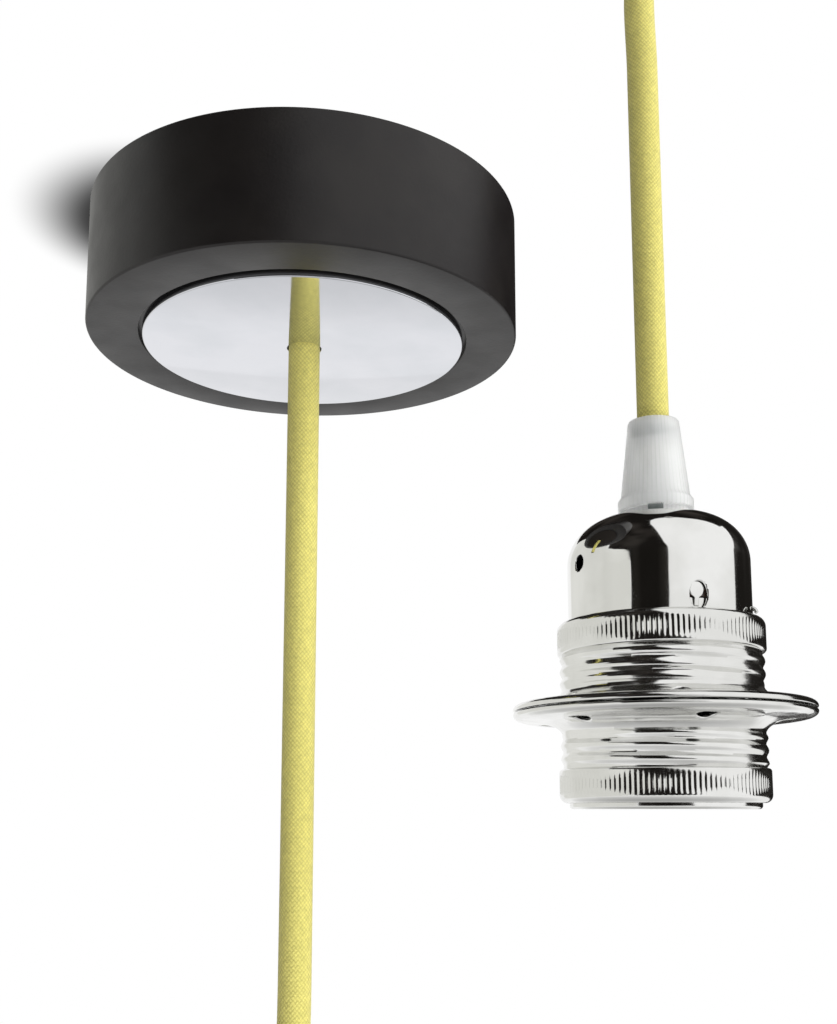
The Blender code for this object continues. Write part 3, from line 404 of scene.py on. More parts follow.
cordRoute = swagRoute()
cordLine, cordLength = smoothLine(np.stack([cordRoute[:, 0], 0 * cordRoute[:, 0], cordRoute[:, 1]], 1),
                                  cordSizes["steps"])
cordTube = carried(cordLine, cordSizes["radius"], (0, 1, 0), cordSizes["columns"])
textileCord = makePiece("textileCord", cordTube, finish["braid"], "pendant", capEnds=True)
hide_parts("textile_cord")
# the chrome stays plain, and cordInDisc shows in the disc's mirror instead
textileCord.visible_glossy = False
print(f"cord made, {cordLength:.3f} m")

rose = {
    "radius": 0.0475, "height": 0.027, "sheet": 0.0012, "edge": 0.0005, "opening": 0.0364, "lipEdge": 0.0003,
    "step": 0.0330, "ledgeZ": -0.0257, "floorZ": -0.0227, "floorTop": -0.0215, "floorHole": 0.0062,
    "discRadius": 0.0356, "discFoot": -0.028, "discTop": -0.026, "discHole": 0.0048, "discLip": 0.0008,
    "discEdge": 0.0003, "holeEdge": 0.0001, "bushBore": 0.0038, "bushOuter": 0.0045, "bushCollar": 0.0059,
    "bushFlange": 0.001, "fit": 0.0003, "columns": 240,
}
r = rose
coverProfile = np.vstack([
    [(r["radius"], 0.0)],
    arcPoints((r["radius"] - r["edge"], -r["height"] + r["edge"]), r["edge"], 0, -90, 6),
    arcPoints((r["opening"] + r["lipEdge"], -r["height"] + r["lipEdge"]), r["lipEdge"], 270, 180, 3),
    [(r["opening"], r["ledgeZ"]), (r["step"], r["ledgeZ"]), (r["step"], r["floorZ"]),
     (r["floorHole"], r["floorZ"]), (r["floorHole"], r["floorTop"]), (r["step"] + r["sheet"], r["floorTop"])],
    np.array([(r["step"], r["ledgeZ"]), (r["opening"], r["ledgeZ"]),
              (r["opening"], -r["height"])]) + r["sheet"],
    [(r["radius"] - r["sheet"], -r["height"] + r["sheet"]), (r["radius"] - r["sheet"], 0.0)],
])
roseCover = turnedPiece("roseCover", "black_lacquer", coverProfile, r["columns"], 0.0, closeRows=True)
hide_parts("rose_canopy")
discProfile = np.vstack([
    arcPoints((r["discRadius"] - r["discEdge"], r["discFoot"] + r["discEdge"]), r["discEdge"], 0, -90, 4),
    [(r["bushBore"] + r["holeEdge"], r["discFoot"]), (r["bushBore"], r["discFoot"] + r["holeEdge"]),
     (r["bushBore"], r["discFoot"] + r["discLip"]), (r["discHole"], r["discFoot"] + r["discLip"]),
     (r["discHole"], r["discTop"]), (r["discRadius"], r["discTop"])],
])
roseDisc = turnedPiece("roseDisc", "polished_steel", discProfile, r["columns"], 0.0, closeRows=True)
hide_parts("rose_disc")
roseDisc.visible_glossy = False  # the photograph shows no bright disc in the dome's mirror
bushFoot, collarZ = r["discFoot"] + r["discLip"] + r["fit"], r["discTop"] + r["fit"]
bushProfile = np.array([
    (r["bushBore"], bushFoot), (r["bushOuter"], bushFoot), (r["bushOuter"], collarZ),
    (r["bushCollar"], collarZ), (r["bushCollar"], collarZ + r["bushFlange"]),
    (r["bushBore"], collarZ + r["bushFlange"]),
])
cordBush = turnedPiece("cordBush", "black_rubber", bushProfile, 96, 0.0, closeRows=True)
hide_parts("cord_bush")
print("rose made")

hook = {
    "x": 0.107, "wire": 0.002, "bowl": 0.0085, "shank": 0.008, "throat": 0.0022, "root": 0.0005,
    "plateRadius": 0.011, "plateThickness": 0.002, "plateEdge": 0.0006,
}
plateTop = float(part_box("ceiling_hook")[1][2])
plateFoot = plateTop - hook["plateThickness"]
bowlZ = plateFoot - hook["shank"] - hook["bowl"]
# the bowl goes from its free end, a little below level, down and round to its top under the shank
bowlTurn = np.radians(np.concatenate([200 + 160 * np.arange(13) / 12, 375 + 75 * np.arange(6) / 6]))
hookPoints = np.stack([0 * bowlTurn + hook["x"], hook["bowl"] * np.cos(bowlTurn),
                       bowlZ + hook["bowl"] * np.sin(bowlTurn)], 1)
hookPoints = np.vstack([hookPoints, [(hook["x"], 0.0, bowlZ + hook["bowl"] + hook["throat"]),
                                     (hook["x"], 0.0, plateFoot + hook["root"])]])
hookLine, _ = smoothLine(hookPoints, 90)
# the wire's radius follows a quarter circle over the first four steps, for a rounded free end
tip = hook["wire"] * np.sqrt(np.clip(1 - (1 - np.arange(91) / 4.0).clip(0) ** 2, 0.02, 1))
hookWire = makePiece("hookWire", carried(hookLine, tip, (1, 0, 0), 28), finish["chrome"], "pendant",
                     capEnds=True)
plateEdge = hook["plateEdge"]
plateProfile = np.vstack([
    [(0.0, plateTop), (hook["plateRadius"], plateTop)],
    arcPoints((hook["plateRadius"] - plateEdge, plateFoot + plateEdge), plateEdge, 0, -90, 4),
    [(0.0, plateFoot)],
])
hookPlate = turnedPiece("hookPlate", "chrome", plateProfile, 96, hook["x"], outwards=False)
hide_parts("ceiling_hook")
print("hook made")

# cord grip on top of the holder; fit is the gap between pieces that touch
grip = {
    "x": 0.078, "top": -0.0453, "topRadius": 0.0056, "topEdge": 0.0004, "footRadius": 0.0075, "cone": 0.0178,
    "flare": 0.0008, "lipRadius": 0.0082, "lipHeight": 0.0026, "lipEdge": 0.0005, "footEdge": 0.0004,
    "collar": 0.004, "throat": 0.0048, "throatDrop": 0.0015, "bore": 0.0038, "spigot": 0.0062,
    "spigotTop": -0.057, "chamfer": 0.0006,
    "baseRadius": 0.0079, "baseTop": -0.066, "baseFoot": -0.0672, "baseEdge": 0.0002, "nipple": 0.005,
    "nippleBore": 0.0036, "nippleFoot": -0.0756, "nippleTop": -0.0615, "nipplePitch": 0.001,
    "nippleDepth": 0.00036, "fit": 0.0003, "ribs": 30, "ribDepth": 0.0003, "ribTop": 0.002,
    "nutRibsWithin": 0.0058, "baseRibsWithin": 0.0054,  # the radii that the two pieces' ribs stay inside
}
g = grip
coneFoot = g["top"] - g["cone"]
gripFoot = coneFoot - g["lipHeight"]
gripProfile = np.vstack([
    [(g["bore"], g["top"] - g["fit"]), (g["bore"] + g["fit"], g["top"])],
    arcPoints((g["topRadius"] - g["topEdge"], g["top"] - g["topEdge"]), g["topEdge"], 90, 6, 4),
    [(g["footRadius"], coneFoot + g["flare"])],
    arcPoints((g["lipRadius"] - g["lipEdge"], coneFoot - g["lipEdge"]), g["lipEdge"], 60, 0, 3),
    arcPoints((g["lipRadius"] - g["footEdge"], gripFoot + g["footEdge"]), g["footEdge"], 0, -90, 3),
    [(g["spigot"] + g["fit"], gripFoot), (g["spigot"] + g["fit"], g["spigotTop"] + g["fit"]),
     (g["throat"], g["top"] - g["collar"] - g["throatDrop"]), (g["bore"], g["top"] - g["collar"])],
])


def gripRibs(profile, widest):
    # Fine upright ribs on the bore: every point inside the widest radius moves inwards by the rib's
    # depth times the rib wave.
    inside = (profile[:, :1] < widest) & (profile[:, 1:] < g["top"] - g["ribTop"])
    return lambda turn, height: -g["ribDepth"] * ribWave(turn, g["ribs"]) * inside


gripNut = turnedPiece("gripNut", "frosted_plastic", gripProfile, 240, g["x"],
                      gripRibs(gripProfile, g["nutRibsWithin"]), closeRows=True)
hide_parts("grip_nut")

jaws = {"bore": 0.00352, "outer": 0.00376, "top": -0.0457, "middle": -0.0486, "foot": -0.0503, "grooves": 36,
        "grooveDepth": 0.00012}
jawProfile = np.array([(jaws["bore"], jaws["top"]), *((jaws["outer"], jaws[k]) for k in ("top", "middle",
                                                                                         "foot")),
                       (jaws["bore"], jaws["foot"])])


def jawGrooves(turn, height):
    # The clamping jaws are a thin sleeve round the cord, scored upright: the outer radius falls
    # by the depth times the rib wave.
    return -jaws["grooveDepth"] * ribWave(turn, jaws["grooves"]) * (jawProfile[:, :1] > jaws["bore"])


gripJaws = turnedPiece("gripJaws", "grey_nylon", jawProfile, 216, g["x"], jawGrooves, closeRows=True)
edge, chamfer, threadBore = g["baseEdge"], g["chamfer"], g["nipple"] + g["fit"]
baseProfile = np.array([
    (threadBore, g["baseFoot"]), (g["baseRadius"] - edge, g["baseFoot"]),
    (g["baseRadius"], g["baseFoot"] + edge), (g["baseRadius"], g["baseTop"] - edge),
    (g["baseRadius"] - edge, g["baseTop"]), (g["spigot"], g["baseTop"]),
    (g["spigot"], g["spigotTop"] - chamfer), (g["spigot"] - chamfer, g["spigotTop"]),
    (threadBore, g["spigotTop"]), (threadBore, g["nippleTop"] + g["fit"]),
    (g["nipple"] + chamfer, g["nippleTop"]),
])
gripBase = turnedPiece("gripBase", "frosted_plastic", baseProfile, 240, g["x"],
                       gripRibs(baseProfile, g["baseRibsWithin"]), closeRows=True)
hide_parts("grip_base")
# Catch that stops the nut from turning back: a curved block on the base. Its top edge is
# toothed, as height plus tooth height times cos(teeth times pi times the share of the width).
catch = {"bearing": -12.0, "halfTurn": 0.2, "height": 0.0013, "teeth": 8, "toothHeight": 0.0002,
         "proud": 0.00028, "sheet": 0.0003}
catchShare = np.linspace(-1, 1, 41)
catchTop = catch["height"] + catch["toothHeight"] * np.cos(catch["teeth"] * np.pi * catchShare)
catchTurn = math.radians(catch["bearing"]) + catch["halfTurn"] * catchShare
catchRadius = g["baseRadius"] + catch["proud"]
catchRow = np.stack([g["x"] + catchRadius * np.sin(catchTurn), -catchRadius * np.cos(catchTurn),
                     0 * catchTurn + g["baseFoot"]], 1)
catchPoints = np.stack([catchRow, catchRow + catchTop[:, None] * (0, 0, 1)])
gripCatch = makePiece("gripCatch", catchPoints, finish["grey_nylon"], "pendant", closeTurn=False)
addSheet(gripCatch, catch["sheet"])

nippleHeights = np.linspace(g["nippleFoot"], g["nippleTop"], 110)
nippleProfile = np.vstack([
    np.stack([0 * nippleHeights + g["nipple"], nippleHeights], 1),
    [(g["nippleBore"], nippleHeights[-1]), (g["nippleBore"], nippleHeights[0])],
])


def nippleThread(turn, height):  # a helical groove in the outer wall
    groove = g["nippleDepth"] * helixWave(turn, height, g["nipplePitch"])
    return -groove * (nippleProfile[:, :1] == g["nipple"])


nippleTube = turnedPiece("nippleTube", "zinc_steel", nippleProfile, 72, g["x"], nippleThread, closeRows=True)
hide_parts("threaded_nipple")
print("grip made")

# domed cap: flat top, elliptical shoulder, straight skirt with a rolled edge
cap = {
    "x": 0.078, "radius": 0.0196, "wall": 0.0006, "shoulder": 0.011, "drop": 0.0105, "height": 0.0265,
    "top": -0.0675, "hole": 0.0053, "footBend": 0.0012, "footRoll": (0.0004, 0.0006), "columns": 300,
    "holes": [  # bearing to the right in degrees, metres below the top, half width, half height
        (-68.3, 0.0112, 0.0018, 0.0018), (12.0, 0.0203, 0.0020, 0.00285),
    ],
}


def punchedShell(name, profile, columns, centreX, material, body, wall, punches, offset=None, outwards=True,
                 insideMaterial=None):
    # The profile is read by the metres walked along it, and the grid's points are (turn, metres).
    # A cell whose middle lies in a punch's ellipse goes, and the points round it are moved on
    # to the ellipse. Only then are the points carried round the axis.
    walk = np.concatenate([[0.0], np.cumsum(np.linalg.norm(np.diff(profile, axis=0), axis=1))])
    turn = np.broadcast_to(np.linspace(0, 2 * np.pi, columns, endpoint=False), (len(profile), columns)).copy()
    metres = np.broadcast_to(walk[:, None], turn.shape).copy()
    keep = np.ones((len(profile) - 1, columns), bool)
    for bearing, at, halfWidth, halfHeight in punches:
        radiusHere = np.interp(at, walk, profile[:, 0])
        centre = math.radians(bearing)
        x = (np.mod(turn - centre + np.pi, 2 * np.pi) - np.pi) * radiusHere
        y = metres - at
        xNext = np.roll(x, -1, 1)
        middleX = (x[:-1] + x[1:] + xNext[:-1] + xNext[1:]) / 4
        middleX = np.where(np.abs(x[:-1] - xNext[:-1]) < radiusHere, middleX, radiusHere)
        middleY = (y[:-1] + y[1:]) / 2
        gone = (middleX / halfWidth) ** 2 + (middleY / halfHeight) ** 2 < 1
        keep &= ~gone
        touched = np.zeros(turn.shape, bool)
        whole = np.ones(turn.shape, bool)
        for di in (0, 1):
            for dj in (0, 1):
                cell = np.roll(gone, dj, 1)
                touched[di:len(gone) + di] |= cell
                whole[di:len(gone) + di] &= cell
        rim = touched & ~whole
        far = np.sqrt((x / halfWidth) ** 2 + (y / halfHeight) ** 2)
        far = np.where(far > 1e-6, far, 1.0)
        turn = np.where(rim, centre + x / far / radiusHere, turn)
        metres = np.where(rim, at + y / far, metres)
    radius = np.interp(metres, walk, profile[:, 0])
    height = np.interp(metres, walk, profile[:, 1])
    if offset is not None:
        radius = radius + offset(turn, height)
    points = np.stack([centreX + radius * np.sin(turn), -radius * np.cos(turn), height], -1)
    piece = makePiece(name, points, material, body, keep=keep, outwards=outwards)
    solid = addSheet(piece, wall)
    if insideMaterial is not None:
        piece.data.materials.append(insideMaterial)
        solid.material_offset = 1
    return piece


c = cap
bendZ = c["top"] - c["drop"]
capFoot = c["top"] - c["height"]
capOutline = np.vstack([
    [(c["hole"], c["top"]), (c["radius"] - c["shoulder"], c["top"])],
    arcPoints((c["radius"] - c["shoulder"], bendZ), (c["shoulder"], c["drop"]), 90, 0, 48)[1:],
    [(c["radius"], capFoot + c["footBend"])],
    arcPoints((c["radius"] - c["footRoll"][0] / 2, capFoot + c["footRoll"][1]), c["footRoll"], 60, -60, 6),
])
capProfile = walked(capOutline, 0.0005)
capWalk = np.concatenate([[0.0], np.cumsum(np.linalg.norm(np.diff(capProfile, axis=0), axis=1))])
capPunches = [(bearing, float(np.interp(-(c["top"] - below), -capProfile[:, 1], capWalk)), a, b)
              for bearing, below, a, b in c["holes"]]
# the cap's inside takes the drawn_inside finish, darkened as painted shade
domeCap = punchedShell("domeCap", capProfile, c["columns"], c["x"], finish["chrome"], "pendant", c["wall"],
                       capPunches, outwards=False, insideMaterial=finish["drawn_inside"])
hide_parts("dome_cap")
latch = {
    "bearing": 11.0, "headRadius": 0.0016, "headZ": -0.0867, "stem": 0.00048, "foot": -0.0910,
    "sheet": 0.00015, "outer": 0.01935, "inner": 0.01893, "bendStart": 0.0008, "bend": 0.002,
}
# Tongue that locks the cap: a round head on a narrow stem. Its half width at a height is the
# greater of the head's circle and the stem, and its radius grows towards the head.
t = latch
tongueZ = t["headZ"] + t["headRadius"] * np.cos(np.linspace(0.06, np.pi * 0.86, 16))
tongueZ = np.concatenate([tongueZ, np.linspace(tongueZ[-1], t["foot"], 12)[1:]])
halfWidth = np.sqrt(np.clip(t["headRadius"] ** 2 - (tongueZ - t["headZ"]) ** 2, 0, None))
halfWidth = np.where(tongueZ < t["headZ"], np.maximum(halfWidth, t["stem"]), halfWidth)
tongueBend = rising(tongueZ, t["foot"] + t["bendStart"], t["bend"]) ** 0.7
tongueRadius = t["inner"] + (t["outer"] - t["inner"]) * tongueBend
tongueTurn = math.radians(t["bearing"]) + halfWidth[:, None] * np.linspace(-1, 1, 13)[None, :] / c["radius"]
tonguePoints = np.stack([c["x"] + tongueRadius[:, None] * np.sin(tongueTurn),
                         -tongueRadius[:, None] * np.cos(tongueTurn),
                         tongueZ[:, None] + 0 * tongueTurn], -1)
capTongue = makePiece("capTongue", tonguePoints, finish["rolled_chrome"], "pendant", closeTurn=False,
                      outwards=False)
addSheet(capTongue, t["sheet"])
# bent tab between the cap's skirt and the upper ring: a wire along points of (radius, height)
tab = {
    "bearing": 57.0, "wire": 0.00042,
    "shape": [(0.01985, -0.0891), (0.0203, -0.0892), (0.0208, -0.0895), (0.0211, -0.0899), (0.0211, -0.0904)],
}
tabAngle = math.radians(tab["bearing"])
tabOut = (math.sin(tabAngle), -math.cos(tabAngle), 0.0)
tabSide = (math.cos(tabAngle), math.sin(tabAngle), 0.0)
tabShape = np.array(tab["shape"])
tabLine, _ = smoothLine(np.array([c["x"], 0, 0]) + tabShape[:, :1] * tabOut + tabShape[:, 1:] * (0, 0, 1), 20)
fromEnd = np.minimum(np.arange(21), 20 - np.arange(21)) / 4.0
tabRound = tab["wire"] * np.sqrt(np.clip(1 - (1 - fromEnd).clip(0) ** 2, 0.03, 1))
tabWire = carried(tabLine, tabRound, tabSide, 14)
capTab = makePiece("capTab", tabWire, finish["chrome"], "pendant", capEnds=True)
print("cap made")

# threaded sleeve under the cap, with its rolled mouth
sleeve = {
    "x": 0.078, "radius": 0.020, "crest": 0.0203, "wall": 0.0007, "neckRadius": 0.0187, "neckTop": -0.0883,
    "top": -0.0943, "foot": -0.1305, "plainEnd": 0.003, "rim": 0.0014, "rimWidth": 0.002, "pitch": 0.00278,
    "depth": 0.0005, "fade": 0.001, "runOut": 0.0004, "columns": 144,
}
s = sleeve
mouth = s["radius"] - s["rimWidth"]
sleeveOutline = np.vstack([
    [(s["neckRadius"], s["neckTop"]), (s["neckRadius"], s["top"])],
    walked([(s["crest"], s["top"]), (s["crest"], s["foot"] + s["plainEnd"] + s["runOut"])], 0.00028),
    walked([(s["radius"], s["foot"] + s["plainEnd"]), (s["radius"], s["foot"] + s["rim"] / 2)], 0.0002),
    arcPoints((s["radius"] - s["rim"] / 2, s["foot"] + s["rim"] / 2), s["rim"] / 2, 0, -90, 5)[1:],
    arcPoints((mouth + s["rim"] / 2, s["foot"] + s["rim"] / 2), s["rim"] / 2, 270, 180, 5),
    [(mouth, s["foot"] + s["rim"]), (s["radius"] - s["wall"], s["foot"] + s["rim"]),
     (s["radius"] - s["wall"], s["top"] - s["wall"]), (s["neckRadius"] - s["wall"], s["top"] - s["wall"]),
     (s["neckRadius"] - s["wall"], s["neckTop"])],
])


def sleeveThread(turn, height):
    # a rolled thread on the points at the crest's radius, fading out at both ends
    inThread = np.abs(sleeveOutline[:, :1] - s["crest"]) < 1e-6
    fade = rising(s["top"] - height, 0, s["fade"]) * rising(height, s["foot"] + s["plainEnd"], s["fade"])
    return -s["depth"] * (1 - helixWave(turn, height, s["pitch"])) * fade * inThread


screwSleeve = turnedPiece("screwSleeve", "rolled_chrome", sleeveOutline, s["columns"], s["x"], sleeveThread,
                          closeRows=True)
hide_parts("threaded_sleeve")
print("sleeve made")

# shade rings: flange, flare, rolled thread and knurled band, pressed from one sheet
ring = {
    "x": 0.078, "height": 0.0192, "sheet": 0.0005, "band": 0.0221, "crest": 0.0217, "valley": 0.02115,
    "flange": 0.0319, "hem": 0.0014, "footLift": 0.00005, "rim": 0.0003, "nose": 0.0022, "noseFoot": 0.0004,
    "lip": 0.0017, "flare": (0.0052, 0.0032), "flareTop": 0.0018, "bandEdge": 0.0006, "bandBend": 0.0007,
    "crown": (0.0016, 0.0017), "margin": 0.0018, "bandHeight": 0.004, "plain": 0.0014, "pitch": 0.00278,
    "threads": 3, "fadeIn": 0.0012, "fadeOut": 0.0008, "teeth": 126, "toothDepth": 0.00015,
    "toothFade": 0.0004, "toothReach": 0.0001, "vent": 0.0021, "ventCircle": 0.025, "vents": 6, "columns": 756,
    "joint": -0.1099, "halfGap": 0.00015,  # the height where the rings meet, and half their distance
}
q = ring
bandFoot = q["height"] - q["margin"] - q["bandHeight"] - q["plain"]
threadFoot = bandFoot - q["threads"] * q["pitch"]
flareX = q["valley"] + q["flare"][0]
ringOutline = np.vstack([
    [(q["flange"] - q["hem"], q["footLift"])],
    arcPoints((q["flange"] - q["rim"], q["footLift"] + q["rim"]), q["rim"], -90, 0, 3),
    arcPoints((q["flange"] - q["nose"], q["noseFoot"]), (q["nose"], q["lip"] - q["noseFoot"]), 4, 84, 7),
    walked([(q["flange"] - q["nose"], q["lip"] + 0.00002), (flareX, threadFoot - q["flare"][1] / 2)], 0.0006),
    arcPoints((flareX, threadFoot + q["flare"][1] / 2), q["flare"], 262, 185, 9),
    walked([(q["valley"], threadFoot + q["flareTop"]), (q["valley"], bandFoot)], 0.00041),
    arcPoints((q["band"] - q["bandEdge"], bandFoot + q["bandBend"]), q["bandEdge"], -70, 0, 3),
    walked([(q["band"], bandFoot + q["plain"]), (q["band"], q["height"] - q["margin"])], 0.00067),
    arcPoints((q["band"] - q["crown"][0], q["height"] - q["crown"][1]), q["crown"], 8, 85, 6),
])


def rolledRing(name, node, body, way, ventTurn):
    # The ring that points up, or its mirror image that points down (way -1). Its thread bulges by a
    # helix wave, and the knurled band is grooved by the square of a rib wave.
    gap = q["halfGap"]

    def offset(turn, height):
        up = np.abs(height - q["joint"] - way * gap)
        wave = helixWave(way * turn, up - threadFoot, q["pitch"]) ** 0.8
        wave = wave * rising(up, threadFoot + q["fadeOut"], q["fadeIn"]) * rising(bandFoot - up, 0,
                                                                                  q["fadeOut"])
        low, high = bandFoot + q["plain"], q["height"] - q["margin"]
        reach, fade = q["toothReach"], q["toothFade"]
        inBand = rising(up, low - reach, fade) * rising(high - up, -reach, fade)
        groove = q["toothDepth"] * ribWave(turn, q["teeth"]) ** 2
        return (q["crest"] - q["valley"]) * wave - groove * inBand
    profile = np.stack([ringOutline[:, 0], q["joint"] + way * (ringOutline[:, 1] + gap)], 1)
    walk = np.concatenate([[0.0], np.cumsum(np.linalg.norm(np.diff(profile, axis=0), axis=1))])
    onFlange = ringOutline[:, 1] < threadFoot
    at = float(np.interp(-q["ventCircle"], -profile[onFlange][4:, 0], walk[onFlange][4:]))
    punches = [(ventTurn + 360 * k / q["vents"], at, q["vent"], q["vent"]) for k in range(q["vents"])]
    piece = punchedShell(name, profile, q["columns"], q["x"], finish["rolled_chrome"], body, q["sheet"],
                         punches, offset, outwards=way > 0)
    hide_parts(node)
    return piece


upperRing = rolledRing("upperRing", "upper_shade_ring", "pendant", 1, -3.0)
lowerRing = rolledRing("lowerRing", "lower_shade_ring", "lower_ring", -1, 8.0)
print("rings made")

# insert inside the sleeve, with the lamp's screw shell
insert = {
    "x": 0.078, "seat": -0.088, "top": -0.0846, "topRadius": 0.0152, "foot": -0.101, "body": 0.0177,
    "flange": 0.0187, "flangeHeight": 0.0016, "edge": 0.0004, "linerRadius": 0.019, "linerBore": 0.0148,
    "linerTop": -0.1013, "linerFoot": -0.1288, "linerEdge": 0.001, "shell": 0.0134, "shellSheet": 0.0004,
    "shellLength": 0.018, "pitch": 0.0036, "wave": 0.0006, "fade": 0.001, "fit": 0.0003,
}
n = insert
coreProfile = np.vstack([
    [(0.0, n["top"]), (n["topRadius"] - n["edge"], n["top"]), (n["topRadius"], n["top"] - n["fit"]),
     (n["body"], n["seat"] + n["flangeHeight"]), (n["flange"], n["seat"] + n["flangeHeight"]),
     (n["flange"], n["seat"]), (n["body"], n["seat"]), (n["body"], n["foot"] + n["edge"]),
     (n["body"] - n["edge"], n["foot"]), (0.0, n["foot"])],
])
insertBody = turnedPiece("insertBody", "brown_phenolic", coreProfile, 120, n["x"], outwards=False)
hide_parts("insert_core")
liningProfile = np.vstack([
    [(n["linerBore"], n["linerTop"]), (n["linerRadius"], n["linerTop"]), (n["linerRadius"], n["linerFoot"])],
    arcPoints((n["linerBore"] + n["linerEdge"], n["linerFoot"] + n["linerEdge"]), n["linerEdge"], 270, 180,
              5),
])
insertLining = turnedPiece("insertLining", "brown_phenolic", liningProfile, 120, n["x"], closeRows=True)
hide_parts("insert_liner")
shellTop = n["foot"] - n["fit"]
shellHeights = np.linspace(shellTop, shellTop - n["shellLength"], 90)
shellProfile = np.vstack([
    np.stack([0 * shellHeights + n["shell"] + n["shellSheet"], shellHeights], 1),
    np.stack([0 * shellHeights + n["shell"], shellHeights], 1)[::-1],
])


def shellThread(turn, height):  # a rolled lamp thread: the sheet waves in and out along a helix
    return n["wave"] * helixWave(turn, height, n["pitch"]) * rising(shellTop - height, 0, n["fade"])


screwShell = turnedPiece("screwShell", "brass", shellProfile, 120, n["x"], shellThread, closeRows=True)
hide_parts("lamp_screw_shell")
print("insert made")

# CAD nodes whose shape stays: each gets the finish of its own slot
slotOf = {"rose_cord_clamp": "white_nylon", "rose_terminal_block": "white_nylon",
          "inner_sheath": "white_sheath", "centre_contact": "brass"}
for end in ("rose", "holder"):
    for core, slotName in (("brown", "brown_core"), ("blue", "blue_core"), ("earth", "green_yellow_core")):
        slotOf[f"{end}_core_{core}"] = slotName
for k in (1, 2, 3):
    slotOf[f"rose_terminal_screw_{k}"] = slotOf[f"holder_terminal_{k}"] = "brass"
replaced = {
    "rose_canopy", "rose_disc", "cord_bush", "textile_cord", "ceiling_hook", "grip_nut", "grip_base",
    "threaded_nipple", "dome_cap", "threaded_sleeve", "upper_shade_ring", "lower_shade_ring", "insert_core",
    "insert_liner", "lamp_screw_shell",
}
for nodeName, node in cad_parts.items():
    if nodeName in replaced:
        continue
    for place in node.material_slots:
        place.material = finish[slotOf.get(nodeName, "zinc_steel")]
print("kept CAD nodes dressed")

# studio: pale floor with a painted shadow that mirrors see, a patch under the ceiling with the rose's painted
# shadow, soft lamps, and cards that only reflections see
studio = {
    "holder": (0.078, 0.0, -0.08), "airLight": 0.34, "airBelow": 0.6, "airWhiteFrom": 0.45,
    "floor": {"height": -0.95, "reach": 3.2, "grey": "#e8e8e8", "glow": 0.35, "shadowPoolNear": 0.2, "shadowPoolFar": 1.9,
              "shadowPoolDarkest": 0.45},
    "walls": [  # name, two greys, bearing from the front to the right, distance, corners (to the right, up)
        ("darkCardFront", "#191715", "#33302d", -22.0, 1.30,
         [(-0.50, -0.55), (1.35, -0.55), (1.20, -0.13), (0.75, 0.10), (0.52, 0.12), (0.573, 0.21),
          (0.443, 0.53), (0.291, 1.30), (-1.79, 1.30), (-1.79, 0.62), (-1.0, 0.36), (-0.552, 0.22),
          (-0.552, 0.10), (-0.50, 0.05)]),
        ("darkCardBack", "#1f1d1b", "#4a4846", 133.5, 1.35,
         [(-1.074, -0.40), (1.074, -0.40), (1.074, 3.0), (0.928, 3.0), (0.426, 1.80), (-0.532, 0.88),
          (-1.074, 0.35)]),
        ("greyCardLeft", "#ecece8", "#e6e6e2", -101.0, 1.60,
         [(-2.285, -0.85), (2.285, -0.85), (2.285, 0.60), (1.39, 0.60), (1.039, 0.50), (0.746, 0.55),
          (0.45, 1.25), (0.30, 2.40), (-2.285, 2.40)]),
    ],
    "overhead": {  # corners are (to the right, to the back), from above the rose
        "greys": ("#191715", "#3a3633"), "height": 1.15,
        "corners": [(-3.3, -2.6), (-0.11, -2.6), (-0.10, -0.31), (-0.03, -0.06), (0.08, 0.03), (0.577, 0.153),
                    (1.3, 0.50), (1.3, 2.45), (-0.9, 2.45), (-1.2, 0.1), (-1.5, -0.25), (-3.3, -1.0)],
    },
    "ceiling": {"height": 0.0004, "left": -0.085, "right": 0.06, "front": -0.075, "back": 0.075,
                "centre": (-0.0290, -0.0010), "full": 0.0190, "gone": 0.0375, "depth": 0.95},
    "lamps": [  # name, bearing, elevation, distance, width, height, watts
        ("softboxRight", 66.0, 20.0, 1.8, 1.3, 1.8, 30.0), ("softboxLeft", -85.0, 12.0, 1.9, 1.2, 1.4, 1.0),
        ("softboxBelow", 20.0, -50.0, 0.8, 0.8, 0.8, 4.0),
    ],
    "mirrorCord": {"foot": -0.058, "points": 40, "thicker": 0.00006, "clear": 0.0001},
    "roseBoard": {"corners": 48, "below": 0.0002},
}
white = (1, 1, 1, 1)
world = bpy.data.worlds.new("studioAir")
bpy.context.scene.world = world
world.use_nodes = True
tree = world.node_tree
tree.nodes.clear()
rays = addNode(tree, "ShaderNodeLightPath").outputs
seen = calc(tree, "MAXIMUM", rays["Is Camera Ray"], rays["Is Glossy Ray"])
seen = calc(tree, "MAXIMUM", seen, rays["Is Transmission Ray"])
airLight = addNode(tree, "ShaderNodeBackground", {"Color": white, "Strength": studio["airLight"]})
airWhite = addNode(tree, "ShaderNodeBackground", {"Color": white, "Strength": 1.0})
# mirrors see a studio that is white all round and greyer below
around = addNode(tree, "ShaderNodeTexCoord").outputs["Generated"]
heading = addNode(tree, "ShaderNodeSeparateXYZ", None, {"Vector": around})
lifted = addNode(tree, "ShaderNodeMapRange", {"From Min": -1.0, "From Max": 1.0},
                 {"Value": heading.outputs["Z"]})
below = studio["airBelow"]
airShade = addNode(tree, "ShaderNodeValToRGB",
                   {"stops": [(0.0, (below, below, below, 1)), (studio["airWhiteFrom"], white)]},
                   {"Fac": lifted.outputs["Result"]})
airMirror = addNode(tree, "ShaderNodeBackground", {"Strength": 1.0}, {"Color": airShade.outputs["Color"]})
airSeen = mixed(tree, rays["Is Glossy Ray"], airWhite.outputs[0], airMirror.outputs[0])
airMix = mixed(tree, seen, airLight.outputs[0], airSeen)
addNode(tree, "ShaderNodeOutputWorld", None, {"Surface": airMix})


